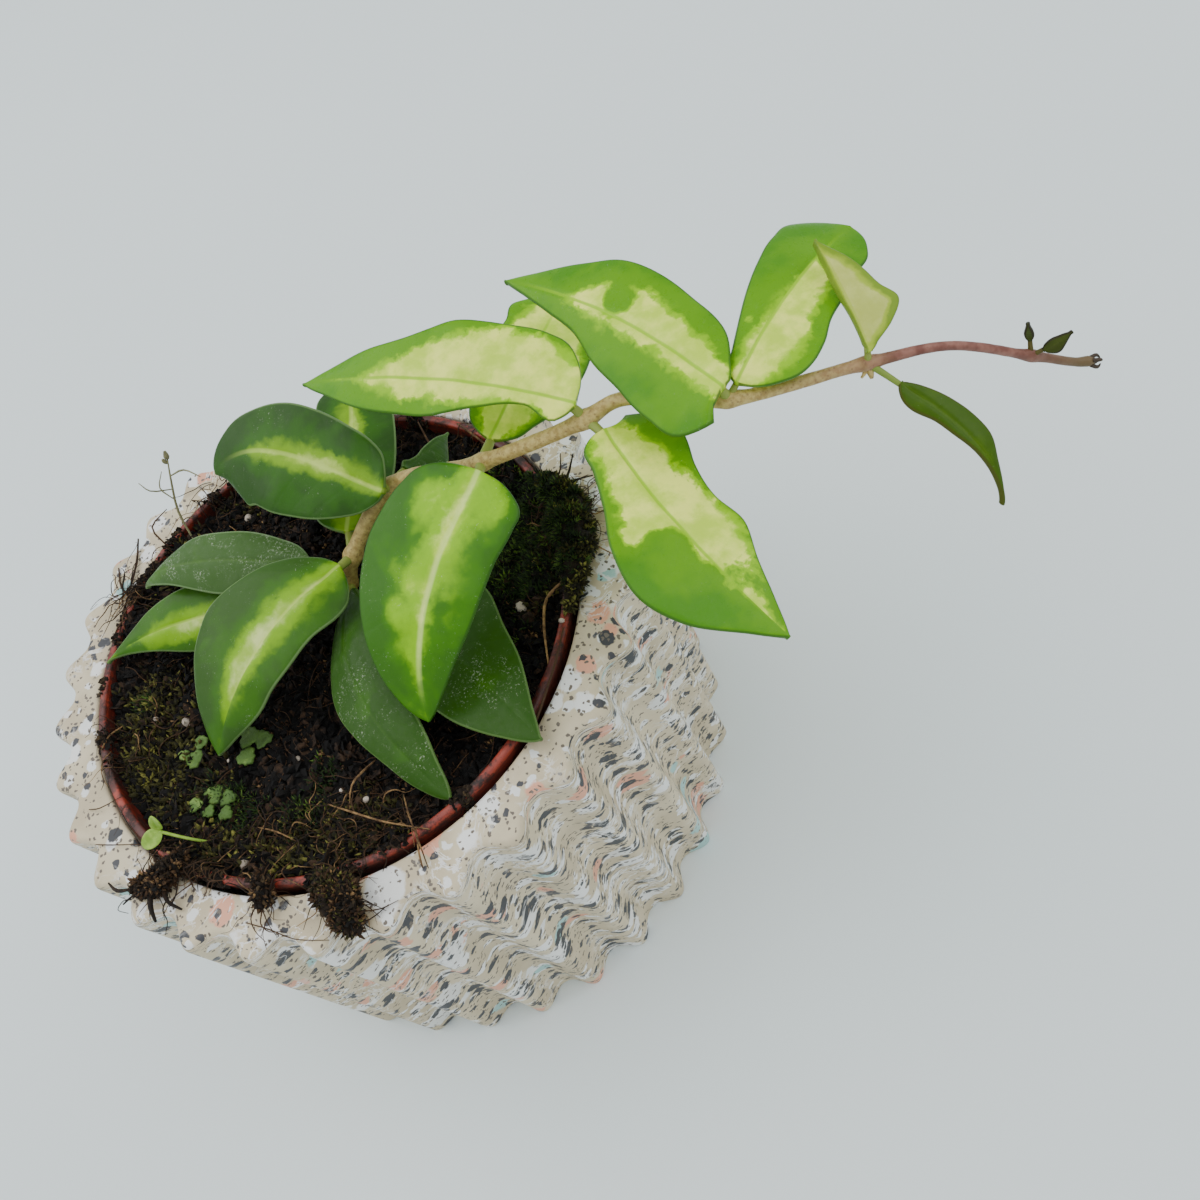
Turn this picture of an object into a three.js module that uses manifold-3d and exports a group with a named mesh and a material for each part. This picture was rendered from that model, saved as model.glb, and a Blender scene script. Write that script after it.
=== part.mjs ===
// A variegated wax plant (hoya) in a terracotta-coloured nursery pot, dropped into a fluted
// terrazzo planter. Millimetres, +Z up. The origin is the centre of the planter's foot.

import * as THREE from 'three';
import { mergeVertices } from 'three/addons/utils/BufferGeometryUtils.js';
import Module from 'manifold-3d';

const wasm = await Module();
wasm.setup();

// ---------------------------------------------------------------- driving dimensions

const GAP = 0.35;                 // clearance between pieces that touch on the real plant

const PLANTER_HEIGHT = 88;
const CREST_RADIUS = 74.3;        // planter's outer radius on a flute's crest
const FLUTE_DEPTH = 4.6;
const FLUTES = 30;
const FLUTE_STEPS = 6;            // facets round one flute
const FIRST_CREST = 7.75;         // degrees from +X
const EDGE_ROUND = 2.2;           // rounding of the planter's outer edges
const BORE_RADIUS = 61.3;
const BORE_CHAMFER = 0.6;
const PLANTER_FLOOR = 8;

const POT_RADIUS = 60;            // nursery pot, outside its lip
const POT_TOP = 89.4;
const POT_FOOT_RADIUS = 43;
const POT_WALL = 1.2;
const LIP_HEIGHT = 8.5;
const POT_SEGMENTS = 54;
const DRAIN_HOLES = 6;
const DRAIN_RADIUS = 4.5;
const DRAIN_CIRCLE = 28;

const SOIL_TOP = 85.4;             // at the pot's wall
const SOIL_SEGMENTS = 30;
const SOIL_DISH = 2;               // how much lower the soil is round the stem
const SOIL_LUMP = 0.9;            // height of the lumps in its surface

const BLADE_MIDDLE = 0.75;        // half of a blade's thickness at its midrib
const BLADE_MARGIN = 0.4;         // and at its margin
const BLADE_ROWS = [0, 0.01, 0.03, 0.06, 0.12, 0.2, 0.3, 0.4, 0.5, 0.6, 0.7, 0.8, 0.9, 0.96, 0.985, 1];
const LOBE_STARTS = 0.01;         // where along the blade a lobe is drawn back the most
const LOBE_REACH = 0.25;          // and where it no longer is
const BLADE_COLUMNS = [-1, -0.55, 0, 0.55, 1];
const PETIOLE_ENDS = 0.08;        // how far along the blade its rounded base has gone flat
const PETIOLE_MEETS = 0.03;       // and where the petiole meets it

// The vine: where each pair of leaves leaves it, and the stem's radius there.
const VINE = [
  { at: [2.5, 9.5, 70], radius: 2.0 },
  { at: [6.2, 7, 86.4], radius: 1.95, node: 'soil' },
  { at: [9.8, 5.2, 91.2], radius: 1.85, node: 'low' },
  { at: [15.3, 4.5, 98.5], radius: 1.7, node: 'crown' },
  { at: [31.5, 4.4, 110], radius: 1.6, node: 'inner' },
  { at: [51.3, -12.7, 118.6], radius: 1.5, node: 'rim' },
  { at: [72.4, -24.8, 125.5], radius: 1.5, node: 'over' },
  { at: [78.7, -26.6, 127.2], radius: 1.4 },
  { at: [86.2, -33.4, 128.2], radius: 1.35 },
  { at: [94.7, -41.5, 127.6], radius: 1.3, node: 'outer' },
  { at: [119.8, -46.7, 121], radius: 1.1, node: 'young' },
  { at: [133.2, -51.1, 118.3], radius: 0.85 },
  { at: [148.1, -55.6, 107.2], radius: 0.9, node: 'sprout' },
  { at: [156, -58.1, 101], radius: 0.85 },
  { at: [158.3, -59, 100], radius: 1.05 },
  { at: [159.8, -59.5, 99.3], radius: 0.5 },
];
const VINE_STEPS = 75;
const VINE_SIDES = 8;
const NODE_SWELL = 0.35;          // how much thicker the stem is at a node
const NODE_REACH = 2.2;           // over this far along the stem

// The leaves, oldest first, each at a node of the vine. faces is the way the upper side looks.
// left and right are the two halves of the blade, seen from above along the midrib: half widths at
// the stations below. arch lifts the midrib and sway bows it to the right: how far, and where the
// most. lift raises the left and the right margin, and lobe draws their bases back past the
// petiole. ripple waves the margins: height, waves along the leaf, and where in a wave each side
// starts.
const STATIONS = [0.05, 0.15, 0.3, 0.45, 0.6, 0.75, 0.9];
const LEAVES = {
  leaf_soil_left: {
    node: 'soil', petiole: 1.2, base: [0.8, 8.3, 89.2], tip: [-50.9, 25.4, 91.4], faces: [-0.2, -0.4, 0.9],
    left: [3.2, 5.5, 7.5, 8.2, 7.1, 4.5, 1.8], right: [3.4, 6, 8, 8.4, 8, 5.6, 1.7],
    arch: [2.6, 0.5], sway: [3.5, 0.62], lift: [-0.8, -1.4], ripple: [0.4, 1.5, 0, 0.4],
  },
  leaf_soil_front: {
    node: 'soil', petiole: 1.2, base: [12.5, -0.5, 89.2], tip: [31.5, -58.3, 91.8], faces: [0, 0, 1],
    left: [10.8, 14.7, 16, 15.5, 11.8, 8.5, 3.3], right: [9.2, 12.4, 13.5, 12.8, 11.2, 9.6, 5.3],
    arch: [4, 0.5], sway: [-1.5, 0.5], lift: [-1, -1], ripple: [0.5, 1.2, 0.2, 0.6],
  },
  leaf_low_back: {
    node: 'low', petiole: 1.2, base: [5.5, 10.5, 98], tip: [-33.4, 34.4, 96.4], faces: [-0.1, -0.3, 0.95],
    left: [4, 6, 7.5, 7.6, 6.3, 4.3, 2.3], right: [3.5, 5.5, 7.1, 7.1, 6.5, 3.8, 0.6],
    arch: [6, 0.6], sway: [2.3, 0.65], lift: [-1, -1.5], ripple: [0.4, 1.3, 0, 0.5],
  },
  leaf_low_front: {
    node: 'low', petiole: 1.2, base: [10.8, 0.2, 92.6], tip: [9.6, -56.4, 88.9], faces: [-0.3, -0.1, 0.95],
    left: [3.4, 5.4, 7.7, 8.3, 8, 6.9, 3.6], right: [1.6, 4.1, 5.9, 7.6, 6.5, 4.8, 3.3],
    arch: [7, 0.45], sway: [5, 0.45], lift: [-1, -1], ripple: [0.5, 1.2, 0.1, 0.5],
  },
  leaf_crown_left: {
    node: 'crown', petiole: 1.1, base: [12, 1.4, 100.7], tip: [-32.9, -14.7, 88.6], faces: [-0.2, -0.3, 0.93],
    left: [6.8, 9.3, 8.6, 8.5, 7.8, 6.9, 3.3], right: [6.5, 11.8, 15.7, 17.4, 16.1, 12.5, 6.8],
    arch: [7, 0.5], sway: [1.8, 0.48], lift: [-0.8, -1.5], ripple: [0.4, 1, 0, 0.5],
  },
  leaf_crown_back: {
    node: 'crown', petiole: 1.1, base: [16.8, 9.3, 100.5], tip: [34.2, 54.3, 99.5], faces: [0, -0.6, 0.8],
    left: [6.1, 8.2, 9.5, 10, 9.9, 9.2, 7.4], right: [6.7, 8.7, 10, 10.5, 10.4, 9.7, 7.9],
    arch: [2, 0.5], sway: [1, 0.5], lift: [-0.5, -0.5], ripple: [0.3, 1, 0, 0.5],
  },
  leaf_inner_back: {
    node: 'inner', petiole: 1.1, base: [30.5, 1.1, 113.1], tip: [-1.4, 33, 115.2], faces: [-0.1, -0.55, 0.83],
    left: [4.8, 8.5, 11.7, 13, 13.2, 11.9, 10.3], right: [6, 8.9, 10.1, 10.9, 11, 9, 2.2],
    arch: [2.5, 0.6], sway: [6, 0.65], lift: [-0.8, -0.8], ripple: [0.3, 1, 0, 0.5],
  },
  leaf_inner_right: {
    node: 'inner', petiole: 1.0, base: [35.8, 7.6, 108.8], tip: [47.4, 18.6, 100], faces: [-0.1, -0.6, 0.8],
    left: [1.5, 0.9, 0.6, 1, 1.1, 1, 0.5], right: [2.8, 4, 5, 5.5, 5, 3.3, 1.2],
    arch: [0.5, 0.5], sway: [0, 0.5], lift: [0.5, -0.5], ripple: [0.3, 1.5, 0, 0.5],
  },
  leaf_rim_front: {
    node: 'rim', petiole: 1.1, base: [50.2, -16.8, 120.8], tip: [14.5, -43.4, 97], faces: [-0.2, -0.3, 0.93],
    left: [10, 11.9, 11.3, 10.9, 9.8, 7.5, 4.2], right: [11.1, 15.2, 17.1, 16.8, 15.1, 12.1, 7.1],
    arch: [5, 0.55], sway: [3.2, 0.55], lift: [-0.8, -0.8], ripple: [0.5, 1, 0, 0.5],
  },
  leaf_rim_back: {
    node: 'rim', petiole: 1.1, base: [55.2, -10.1, 119.8], tip: [84.5, 16.8, 116], faces: [-0.1, -0.5, 0.85],
    left: [4.8, 7.2, 9.6, 10.2, 9.8, 9.1, 9.1], right: [4.4, 7, 10.4, 11.6, 11.9, 10.8, 7.5],
    arch: [1.5, 0.5], sway: [0, 0.5], lift: [-0.5, -0.5], ripple: [0.3, 1, 0, 0.5],
  },
  leaf_over_left: {
    node: 'over', petiole: 1.0, base: [72.1, -24.3, 129.8], tip: [29.4, 18.8, 133], faces: [0.1, -0.5, 0.86],
    left: [4.5, 2.7, 4.7, 7.2, 7.1, 6, 2.8], right: [9.4, 12.6, 13.1, 12.6, 8.6, 6.4, 2.8],
    arch: [3.5, 0.5], sway: [1.7, 0.45], lift: [0.5, -1], ripple: [0.6, 1.2, 0, 0.5],
  },
  leaf_over_front: {
    node: 'over', petiole: 1.0, base: [73.9, -29.4, 124.7], tip: [79.4, -79.9, 112], faces: [0.3, -0.3, 0.9],
    left: [10, 12.5, 10.7, 10, 10.4, 6.7, 3.3], right: [5.2, 6.2, 8.9, 13, 14.7, 11.3, 4.5],
    arch: [3, 0.5], sway: [3.1, 0.5], lift: [0, 0], lobe: [3, 0.5], ripple: [0.8, 1.5, 0.1, 0.5],
  },
  leaf_outer_left: {
    node: 'outer', petiole: 1.0, base: [94.2, -42.5, 132], tip: [75, 9.4, 134.5], faces: [0.1, -0.5, 0.86],
    left: [12, 12.7, 11, 9.2, 5.6, 3.8, 1.8], right: [4.4, 9.3, 11.1, 12.2, 11.4, 7.6, 3.4],
    arch: [2.5, 0.5], sway: [2, 0.5], lift: [-2, -1], lobe: [4, 0.5], ripple: [0.5, 1.2, 0, 0.5],
  },
  leaf_outer_right: {
    node: 'outer', petiole: 0.7, base: [96.9, -42.1, 130.6], tip: [136, -19, 124], faces: [0.1, -0.25, 0.96],
    left: [2.8, 3.7, 5.5, 7.2, 8.7, 10.3, 11], right: [6.5, 10.5, 11, 9.6, 9, 7.6, 4.9],
    arch: [1.5, 0.5], sway: [-1.6, 0.5], lift: [-1.5, 0.8], ripple: [0.4, 1.2, 0.5, 0],
  },
  leaf_young_back: {
    node: 'young', petiole: 0.7, base: [120.2, -47.4, 124.2], tip: [124.5, -26, 133], faces: [0, -0.55, 0.83],
    left: [0.4, 0.4, 0.5, 0.7, 0.7, 0.6, 0.5], right: [2.1, 5.8, 8.7, 6.6, 5.3, 3.8, 1.6],
    arch: [1.3, 0.5], sway: [0, 0.5], lift: [-1.5, 0.3], ripple: [0.3, 1, 0, 0.5],
  },
  leaf_young_front: {
    node: 'young', petiole: 0.65, base: [122.7, -52, 117.6], tip: [127.6, -73.2, 98], faces: [0.1, -0.4, 0.9],
    left: [1.3, 2.35, 3.3, 3.9, 3.5, 1.6, 0.5], right: [2, 2.8, 2, 1.7, 1.1, 0.7, 0.45],
    arch: [3, 0.6], sway: [-2, 0.6], lift: [0, 0], ripple: [0.2, 1.5, 0, 0.5],
  },
  leaf_sprout_back: {
    node: 'sprout', petiole: 0.5, base: [148.6, -54.6, 110.5], tip: [148.5, -54.1, 114.4], faces: [-0.6, -0.7, 0.3],
    left: [0.6, 0.8, 0.9, 0.9, 0.8, 0.6, 0.4], right: [0.6, 0.8, 0.9, 0.9, 0.8, 0.6, 0.4],
    arch: [0.3, 0.5], sway: [0, 0.5], lift: [0, 0], ripple: [0, 1, 0, 0.5],
  },
  leaf_sprout_front: {
    node: 'sprout', petiole: 0.5, base: [149.8, -56.9, 108.6], tip: [154.5, -58.6, 111], faces: [-0.3, -0.6, 0.7],
    left: [0.6, 0.9, 1.1, 1.1, 0.9, 0.7, 0.4], right: [0.8, 1.4, 1.9, 1.9, 1.5, 1, 0.5],
    arch: [0.5, 0.5], sway: [0, 0.5], lift: [0, 0], ripple: [0, 1, 0, 0.5],
  },
};

// Clods of peat and moss on the rim: points along each, and its radius there.
const CLODS = {
  clod_front: [[[-20, -55.5, 90.8], 2.6], [[-18.5, -61, 92], 4], [[-18, -66, 90.6], 3.4], [[-18.3, -70.3, 89.2], 2.2]],
  clod_middle: [[[-31.6, -47.6, 91], 2], [[-32.4, -51, 91.2], 3], [[-33.4, -54.6, 90.2], 2.2]],
  clod_left: [[[-46.5, -33.5, 91], 2.2], [[-50.5, -35, 91.6], 3.2], [[-55, -35.5, 90.2], 3.2], [[-60, -32.6, 89.3], 2]],
  moss_right: [[[58.5, 2, 90.6], 2.6], [[61.5, -7, 91.5], 4.4], [[60, -17.5, 92], 5], [[56, -26, 91.6], 4.6], [[49.5, -34.5, 90.4], 2.4]],
};
const CLOD_STEPS = 9;
const CLOD_SIDES = 9;

// A weed seedling at the left of the pot: its stalk's points, and its two round seed leaves.
const SEEDLING_STALK = [[-41.2, -32.2, 85.5], [-44.3, -30.9, 91.5], [-47.2, -28.9, 96]];
const SEEDLING_RADIUS = 0.55;
const SEED_LEAVES = [
  { at: [-49.7, -28.9, 95.2], along: [-1, -0.1, -0.25], length: 5.6, width: 4.2 },
  { at: [-46.2, -28.4, 98.4], along: [0.35, 0.1, 1], length: 5.2, width: 2.6 },
];
const SEED_LEAF_THICKNESS = 0.8;

// ---------------------------------------------------------------- helpers

const vec = (a) => new THREE.Vector3(a[0], a[1], a[2]);
const degrees = (a) => THREE.MathUtils.degToRad(a);
const clamp01 = (x) => Math.min(1, Math.max(0, x));
const smooth = (x) => THREE.MathUtils.smoothstep(x, 0, 1);

/** A closed mesh from its points and triangles. */
function geometryOf(points, triangles) {
  const geometry = new THREE.BufferGeometry();
  const flat = points.flatMap((p) => [p.x, p.y, p.z]);
  geometry.setAttribute('position', new THREE.Float32BufferAttribute(flat, 3));
  geometry.setIndex(triangles.flat());
  geometry.computeVertexNormals();
  return geometry;
}

/** Joins rings of points, each counter-clockwise seen from the far end, into a closed body. */
function loft(rings) {
  const count = rings[0].length;
  const points = rings.flat();
  const triangles = [];
  for (let r = 0; r + 1 < rings.length; r += 1) {
    for (let i = 0; i < count; i += 1) {
      const a = r * count + i;
      const b = r * count + ((i + 1) % count);
      triangles.push([a, b, b + count], [a, b + count, a + count]);
    }
  }
  const centre = (ring) => ring.reduce((sum, p) => sum.add(p), new THREE.Vector3()).divideScalar(count);
  const first = points.push(centre(rings[0])) - 1;
  const last = points.push(centre(rings[rings.length - 1])) - 1;
  const start = (rings.length - 1) * count;
  for (let i = 0; i < count; i += 1) {
    const j = (i + 1) % count;
    triangles.push([first, j, i], [last, start + i, start + j]);
  }
  return geometryOf(points, triangles);
}

function solidOf(geometry) {
  const bare = geometry.clone();
  bare.deleteAttribute('normal');
  bare.deleteAttribute('uv');
  const merged = mergeVertices(bare, 1e-4);
  return new wasm.Manifold(new wasm.Mesh({
    numProp: 3,
    vertProperties: new Float32Array(merged.attributes.position.array),
    triVerts: new Uint32Array(merged.index.array),
  }));
}

function geometryOfSolid(solid) {
  const mesh = solid.getMesh();
  const geometry = new THREE.BufferGeometry();
  geometry.setAttribute('position', new THREE.BufferAttribute(new Float32Array(mesh.vertProperties), 3));
  geometry.setIndex(new THREE.BufferAttribute(new Uint32Array(mesh.triVerts), 1));
  geometry.computeVertexNormals();
  return geometry;
}

/** The largest piece of a solid: what a cut leaves loose is dropped. */
function largestPiece(solid) {
  const pieces = solid.decompose();
  return pieces.reduce((best, piece) => (piece.volume() > best.volume() ? piece : best));
}

function material(color, roughness) {
  return new THREE.MeshStandardMaterial({ color, roughness, metalness: 0 });
}

function named(name, geometry, finish) {
  const mesh = new THREE.Mesh(geometry, finish);
  mesh.name = name;
  return mesh;
}

// ---------------------------------------------------------------- planter and nursery pot

/** 1 on a flute's crest and 0 in its valley. The crests are narrower than the valleys. */
function crestShape(angle) {
  const wave = 0.5 + 0.5 * Math.cos(FLUTES * (angle - degrees(FIRST_CREST)));
  return wave ** 1.25;
}

/** One level of the planter's outside, drawn in by inset. */
function fluteRing(z, inset) {
  const count = FLUTES * FLUTE_STEPS;
  return Array.from({ length: count }, (_, i) => {
    const angle = degrees(FIRST_CREST) + (2 * Math.PI * i) / count;
    const radius = CREST_RADIUS - FLUTE_DEPTH * (1 - crestShape(angle)) - inset;
    return new THREE.Vector3(radius * Math.cos(angle), radius * Math.sin(angle), z);
  });
}

/** The planter's outside with both of its edges rounded; grown makes it bigger all round. */
function planterOutside(grown = 0) {
  const angles = [0, 45, 90].map(degrees);
  const footRound = EDGE_ROUND * 0.5;
  const foot = angles.map((a) => fluteRing(footRound * (1 - Math.sin(a)) - grown,
    footRound * (1 - Math.cos(a)) - grown)).reverse();
  const rim = angles.map((a) => fluteRing(PLANTER_HEIGHT - EDGE_ROUND * (1 - Math.sin(a)) + grown,
    EDGE_ROUND * (1 - Math.cos(a)) - grown));
  return loft([...foot, ...rim]);
}

function planter() {
  const depth = PLANTER_HEIGHT - PLANTER_FLOOR;
  const bore = new THREE.LatheGeometry([
    new THREE.Vector2(0, PLANTER_FLOOR),
    new THREE.Vector2(BORE_RADIUS - 5, PLANTER_FLOOR),
    new THREE.Vector2(BORE_RADIUS - 2, PLANTER_FLOOR + 2),
    new THREE.Vector2(BORE_RADIUS, PLANTER_FLOOR + depth * 0.5),
    new THREE.Vector2(BORE_RADIUS, PLANTER_HEIGHT - BORE_CHAMFER),
    new THREE.Vector2(BORE_RADIUS + BORE_CHAMFER, PLANTER_HEIGHT),
    new THREE.Vector2(BORE_RADIUS + BORE_CHAMFER, PLANTER_HEIGHT + 5),
    new THREE.Vector2(0, PLANTER_HEIGHT + 5),
  ], POT_SEGMENTS).rotateX(Math.PI / 2);
  return geometryOfSolid(solidOf(planterOutside()).subtract(solidOf(bore)));
}

/** The nursery pot's profile from the axis out, round its lip and back; grown makes it fatter. */
function potProfile(grown = 0) {
  const foot = PLANTER_FLOOR + GAP;
  const lip = POT_TOP - LIP_HEIGHT;
  const g = grown;
  return [
    [0, foot - g],
    [POT_FOOT_RADIUS + g, foot - g],
    [POT_FOOT_RADIUS + 1 + g, foot + 1],
    [POT_RADIUS - 2.8 + g, lip - 0.6],
    [POT_RADIUS - 0.4 + g, lip],
    [POT_RADIUS + g, POT_TOP - 0.5],
    [POT_RADIUS - 0.5 + g, POT_TOP + g],
    [POT_RADIUS - 1.5 - g, POT_TOP + g],
    [POT_RADIUS - 1.9 - g, POT_TOP - 0.6],
    [POT_RADIUS - 2.3 - g, lip + 2],
    [POT_RADIUS - 4.1 - g, lip - 0.6],
    [POT_FOOT_RADIUS - POT_WALL - g, foot + POT_WALL + 0.8],
    [POT_FOOT_RADIUS - POT_WALL - 1 - g, foot + POT_WALL + g],
    [0, foot + POT_WALL + g],
  ].map(([r, z]) => new THREE.Vector2(r, z));
}

function potBody(grown = 0) {
  return solidOf(new THREE.LatheGeometry(potProfile(grown), POT_SEGMENTS).rotateX(Math.PI / 2));
}

function nurseryPot() {
  let pot = potBody();
  for (let i = 0; i < DRAIN_HOLES; i += 1) {
    const angle = (2 * Math.PI * i) / DRAIN_HOLES;
    const drill = new THREE.CylinderGeometry(DRAIN_RADIUS, DRAIN_RADIUS, 8, 10).rotateX(Math.PI / 2);
    drill.translate(DRAIN_CIRCLE * Math.cos(angle), DRAIN_CIRCLE * Math.sin(angle), PLANTER_FLOOR + 1);
    pot = pot.subtract(solidOf(drill));
  }
  return geometryOfSolid(pot);
}

// ---------------------------------------------------------------- vine

const vineCurve = new THREE.CatmullRomCurve3(VINE.map((v) => vec(v.at)), false, 'centripetal');

/** The stem's radius at u, from 0 at its foot to 1 at its tip, with a swelling at each node. */
function vineRadius(u) {
  const at = u * (VINE.length - 1);
  const low = Math.min(VINE.length - 2, Math.floor(at));
  const plain = THREE.MathUtils.lerp(VINE[low].radius, VINE[low + 1].radius, at - low);
  const here = vineCurve.getPoint(u);
  const swell = VINE.filter((v) => v.node).reduce((most, v) => {
    const away = here.distanceTo(vec(v.at)) / NODE_REACH;
    return Math.max(most, NODE_SWELL * Math.exp(-away * away));
  }, 0);
  return plain * (1 + swell);
}

/** The vine's own steps, up to u = last: even ones, so that each node has one. */
function vineStations(last = 1) {
  const even = Array.from({ length: VINE_STEPS + 1 }, (_, i) => i / VINE_STEPS);
  return even.filter((u) => u <= last);
}

/** A round tube along the vine, grown fatter by grown, up to u = last. */
function vineTube(grown = 0, last = 1) {
  const stations = vineStations(last);
  let normal = new THREE.Vector3(0, 1, 0);
  const rings = stations.map((u) => {
    const tangent = vineCurve.getTangent(u);
    normal = normal.clone().addScaledVector(tangent, -normal.dot(tangent)).normalize();
    const side = new THREE.Vector3().crossVectors(tangent, normal);
    const radius = vineRadius(u) + grown;
    const centre = vineCurve.getPoint(u);
    if (u === 0) centre.addScaledVector(tangent, -grown);
    return Array.from({ length: VINE_SIDES }, (_, i) => {
      const a = (2 * Math.PI * i) / VINE_SIDES;
      return centre.clone().addScaledVector(normal, radius * Math.cos(a)).addScaledVector(side, radius * Math.sin(a));
    });
  });
  return loft(rings);
}

const vineWithGap = solidOf(vineTube(GAP));

// ---------------------------------------------------------------- leaves

/** A hump of height 1 at t = where, and 0 at both ends. */
function hump(t, where) {
  return ((t / where) ** where * ((1 - t) / (1 - where)) ** (1 - where)) ** 2;
}

/** Half of a blade's width at t, from 0 at its base to 1 at its tip, on one side of the midrib. */
function bladeHalfWidth(leaf, side, t) {
  const widths = leaf[side];
  const last = STATIONS.length - 1;
  const ends = [[0, 0], ...STATIONS.map((at, k) => [at, widths[k]]), [1, 0]];
  let width = 0;
  if (t < STATIONS[0]) {
    width = widths[0] * Math.sqrt(t / STATIONS[0]);
  } else if (t > STATIONS[last]) {
    const blunt = THREE.MathUtils.clamp((0.4 * widths[last - 1]) / widths[last] - 0.1, 0.25, 1.2);
    width = widths[last] * Math.max(0, (1 - t) / (1 - STATIONS[last])) ** blunt;
  } else {
    const k = Math.min(last, STATIONS.filter((at) => at <= t).length);
    const [[t0, w0], [t1, w1], [t2, w2], [t3, w3]] = ends.slice(k - 1, k + 3);
    const u = (t - t1) / (t2 - t1);
    const rise1 = ((w2 - w0) / (t2 - t0)) * (t2 - t1);
    const rise2 = ((w3 - w1) / (t3 - t1)) * (t2 - t1);
    width = (2 * u ** 3 - 3 * u ** 2 + 1) * w1 + (u ** 3 - 2 * u ** 2 + u) * rise1
      + (3 * u ** 2 - 2 * u ** 3) * w2 + (u ** 3 - u ** 2) * rise2;
  }
  return Math.max(width, leaf.petiole * (1 - t / PETIOLE_ENDS), BLADE_MARGIN);
}

/** The midrib's point at t. */
function midrib(leaf, t, frame) {
  const [arch, archAt] = leaf.arch;
  const [sway, swayAt] = leaf.sway;
  return vec(leaf.base).lerp(vec(leaf.tip), t)
    .addScaledVector(frame.up, arch * hump(t, archAt))
    .addScaledVector(frame.side, sway * hump(t, swayAt));
}

/** A leaf's cross-section at t: points across its upper side, and points across its lower side. */
function section(leaf, centre, tangent, up, widths, roundness, t) {
  const side = new THREE.Vector3().crossVectors(tangent, up).normalize();
  const normal = new THREE.Vector3().crossVectors(side, tangent).normalize();
  const [height, waves, startLeft, startRight] = leaf.ripple;
  const surface = (s, face) => {
    const half = s < 0 ? 0 : 1;
    const wide = clamp01(widths[half] / Math.max(...leaf[half ? 'right' : 'left'])) * (1 - roundness);
    const turn = waves * t + [startLeft, startRight][half];
    const rise = wide * s * s * (height * Math.sin(2 * Math.PI * turn) + leaf.lift[half]);
    const flat = THREE.MathUtils.lerp(BLADE_MIDDLE, BLADE_MARGIN, s * s);
    const round = Math.max(leaf.petiole * Math.sqrt(1 - s * s), BLADE_MARGIN);
    const thick = THREE.MathUtils.lerp(flat, round, roundness);
    const back = (leaf.lobe?.[half] ?? 0) * s * s * (1 - smooth(t / LOBE_REACH)) * clamp01(t / LOBE_STARTS);
    return centre.clone().addScaledVector(side, s * widths[half]).addScaledVector(normal, rise + face * thick)
      .addScaledVector(tangent, -back);
  };
  return {
    upper: BLADE_COLUMNS.map((s) => surface(s, 1)),
    lower: BLADE_COLUMNS.map((s) => surface(s, -1)),
  };
}

/** Skins a leaf's sections, with the same triangles on both faces, and closes both ends. */
function skin(sections) {
  const columns = BLADE_COLUMNS.length;
  const points = sections.flatMap((s) => [...s.upper, ...s.lower]);
  const upper = (r, c) => r * 2 * columns + c;
  const lower = (r, c) => upper(r, c) + columns;
  const triangles = [];
  const quad = (a, b, c, d) => triangles.push([a, b, c], [a, c, d]);
  for (let r = 0; r + 1 < sections.length; r += 1) {
    for (let c = 0; c + 1 < columns; c += 1) {
      quad(upper(r, c), upper(r, c + 1), upper(r + 1, c + 1), upper(r + 1, c));
      triangles.push([lower(r, c), lower(r + 1, c + 1), lower(r, c + 1)]);
      triangles.push([lower(r, c), lower(r + 1, c), lower(r + 1, c + 1)]);
    }
    quad(upper(r, 0), upper(r + 1, 0), lower(r + 1, 0), lower(r, 0));
    quad(upper(r, columns - 1), lower(r, columns - 1), lower(r + 1, columns - 1), upper(r + 1, columns - 1));
  }
  const last = sections.length - 1;
  for (let c = 0; c + 1 < columns; c += 1) {
    quad(upper(0, c), lower(0, c), lower(0, c + 1), upper(0, c + 1));
    quad(upper(last, c), upper(last, c + 1), lower(last, c + 1), lower(last, c));
  }
  return geometryOf(points, triangles);
}

/** A leaf: its blade, and its petiole from the stem's node to the underside of the blade. */
function leafGeometry(leaf) {
  const chord = vec(leaf.tip).sub(vec(leaf.base)).normalize();
  const up = vec(leaf.faces);
  up.addScaledVector(chord, -up.dot(chord)).normalize();
  const frame = { up, side: new THREE.Vector3().crossVectors(chord, up) };
  const at = (t) => midrib(leaf, t, frame);
  const step = 0.01;
  const heading = (t) => at(Math.min(1, t + step)).sub(at(Math.max(0, t - step))).normalize();

  const blade = skin(BLADE_ROWS.map((t) => section(leaf, at(t), heading(t), up,
    [bladeHalfWidth(leaf, 'left', t), bladeHalfWidth(leaf, 'right', t)], 1 - smooth(t / PETIOLE_ENDS), t)));
  const stem = VINE.find((v) => v.node === leaf.node).at;
  const petiole = limb([stem, at(PETIOLE_MEETS).toArray()], [leaf.petiole, leaf.petiole * 0.85], 2, 8);
  return geometryOfSolid(largestPiece(solidOf(blade).add(solidOf(petiole)).subtract(vineWithGap)));
}

// ---------------------------------------------------------------- soil

/** The soil's height at a point: lumpy, and lower round the stem than at the pot's wall. */
function soilHeight(x, y) {
  const lumps = Math.sin(x * 0.31 + 1.3 * Math.sin(y * 0.17)) * Math.cos(y * 0.27 + 0.9 * Math.sin(x * 0.21));
  const edge = Math.hypot(x, y) / POT_RADIUS;
  return SOIL_TOP - SOIL_DISH * (1 - edge * edge) + SOIL_LUMP * lumps;
}

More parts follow.
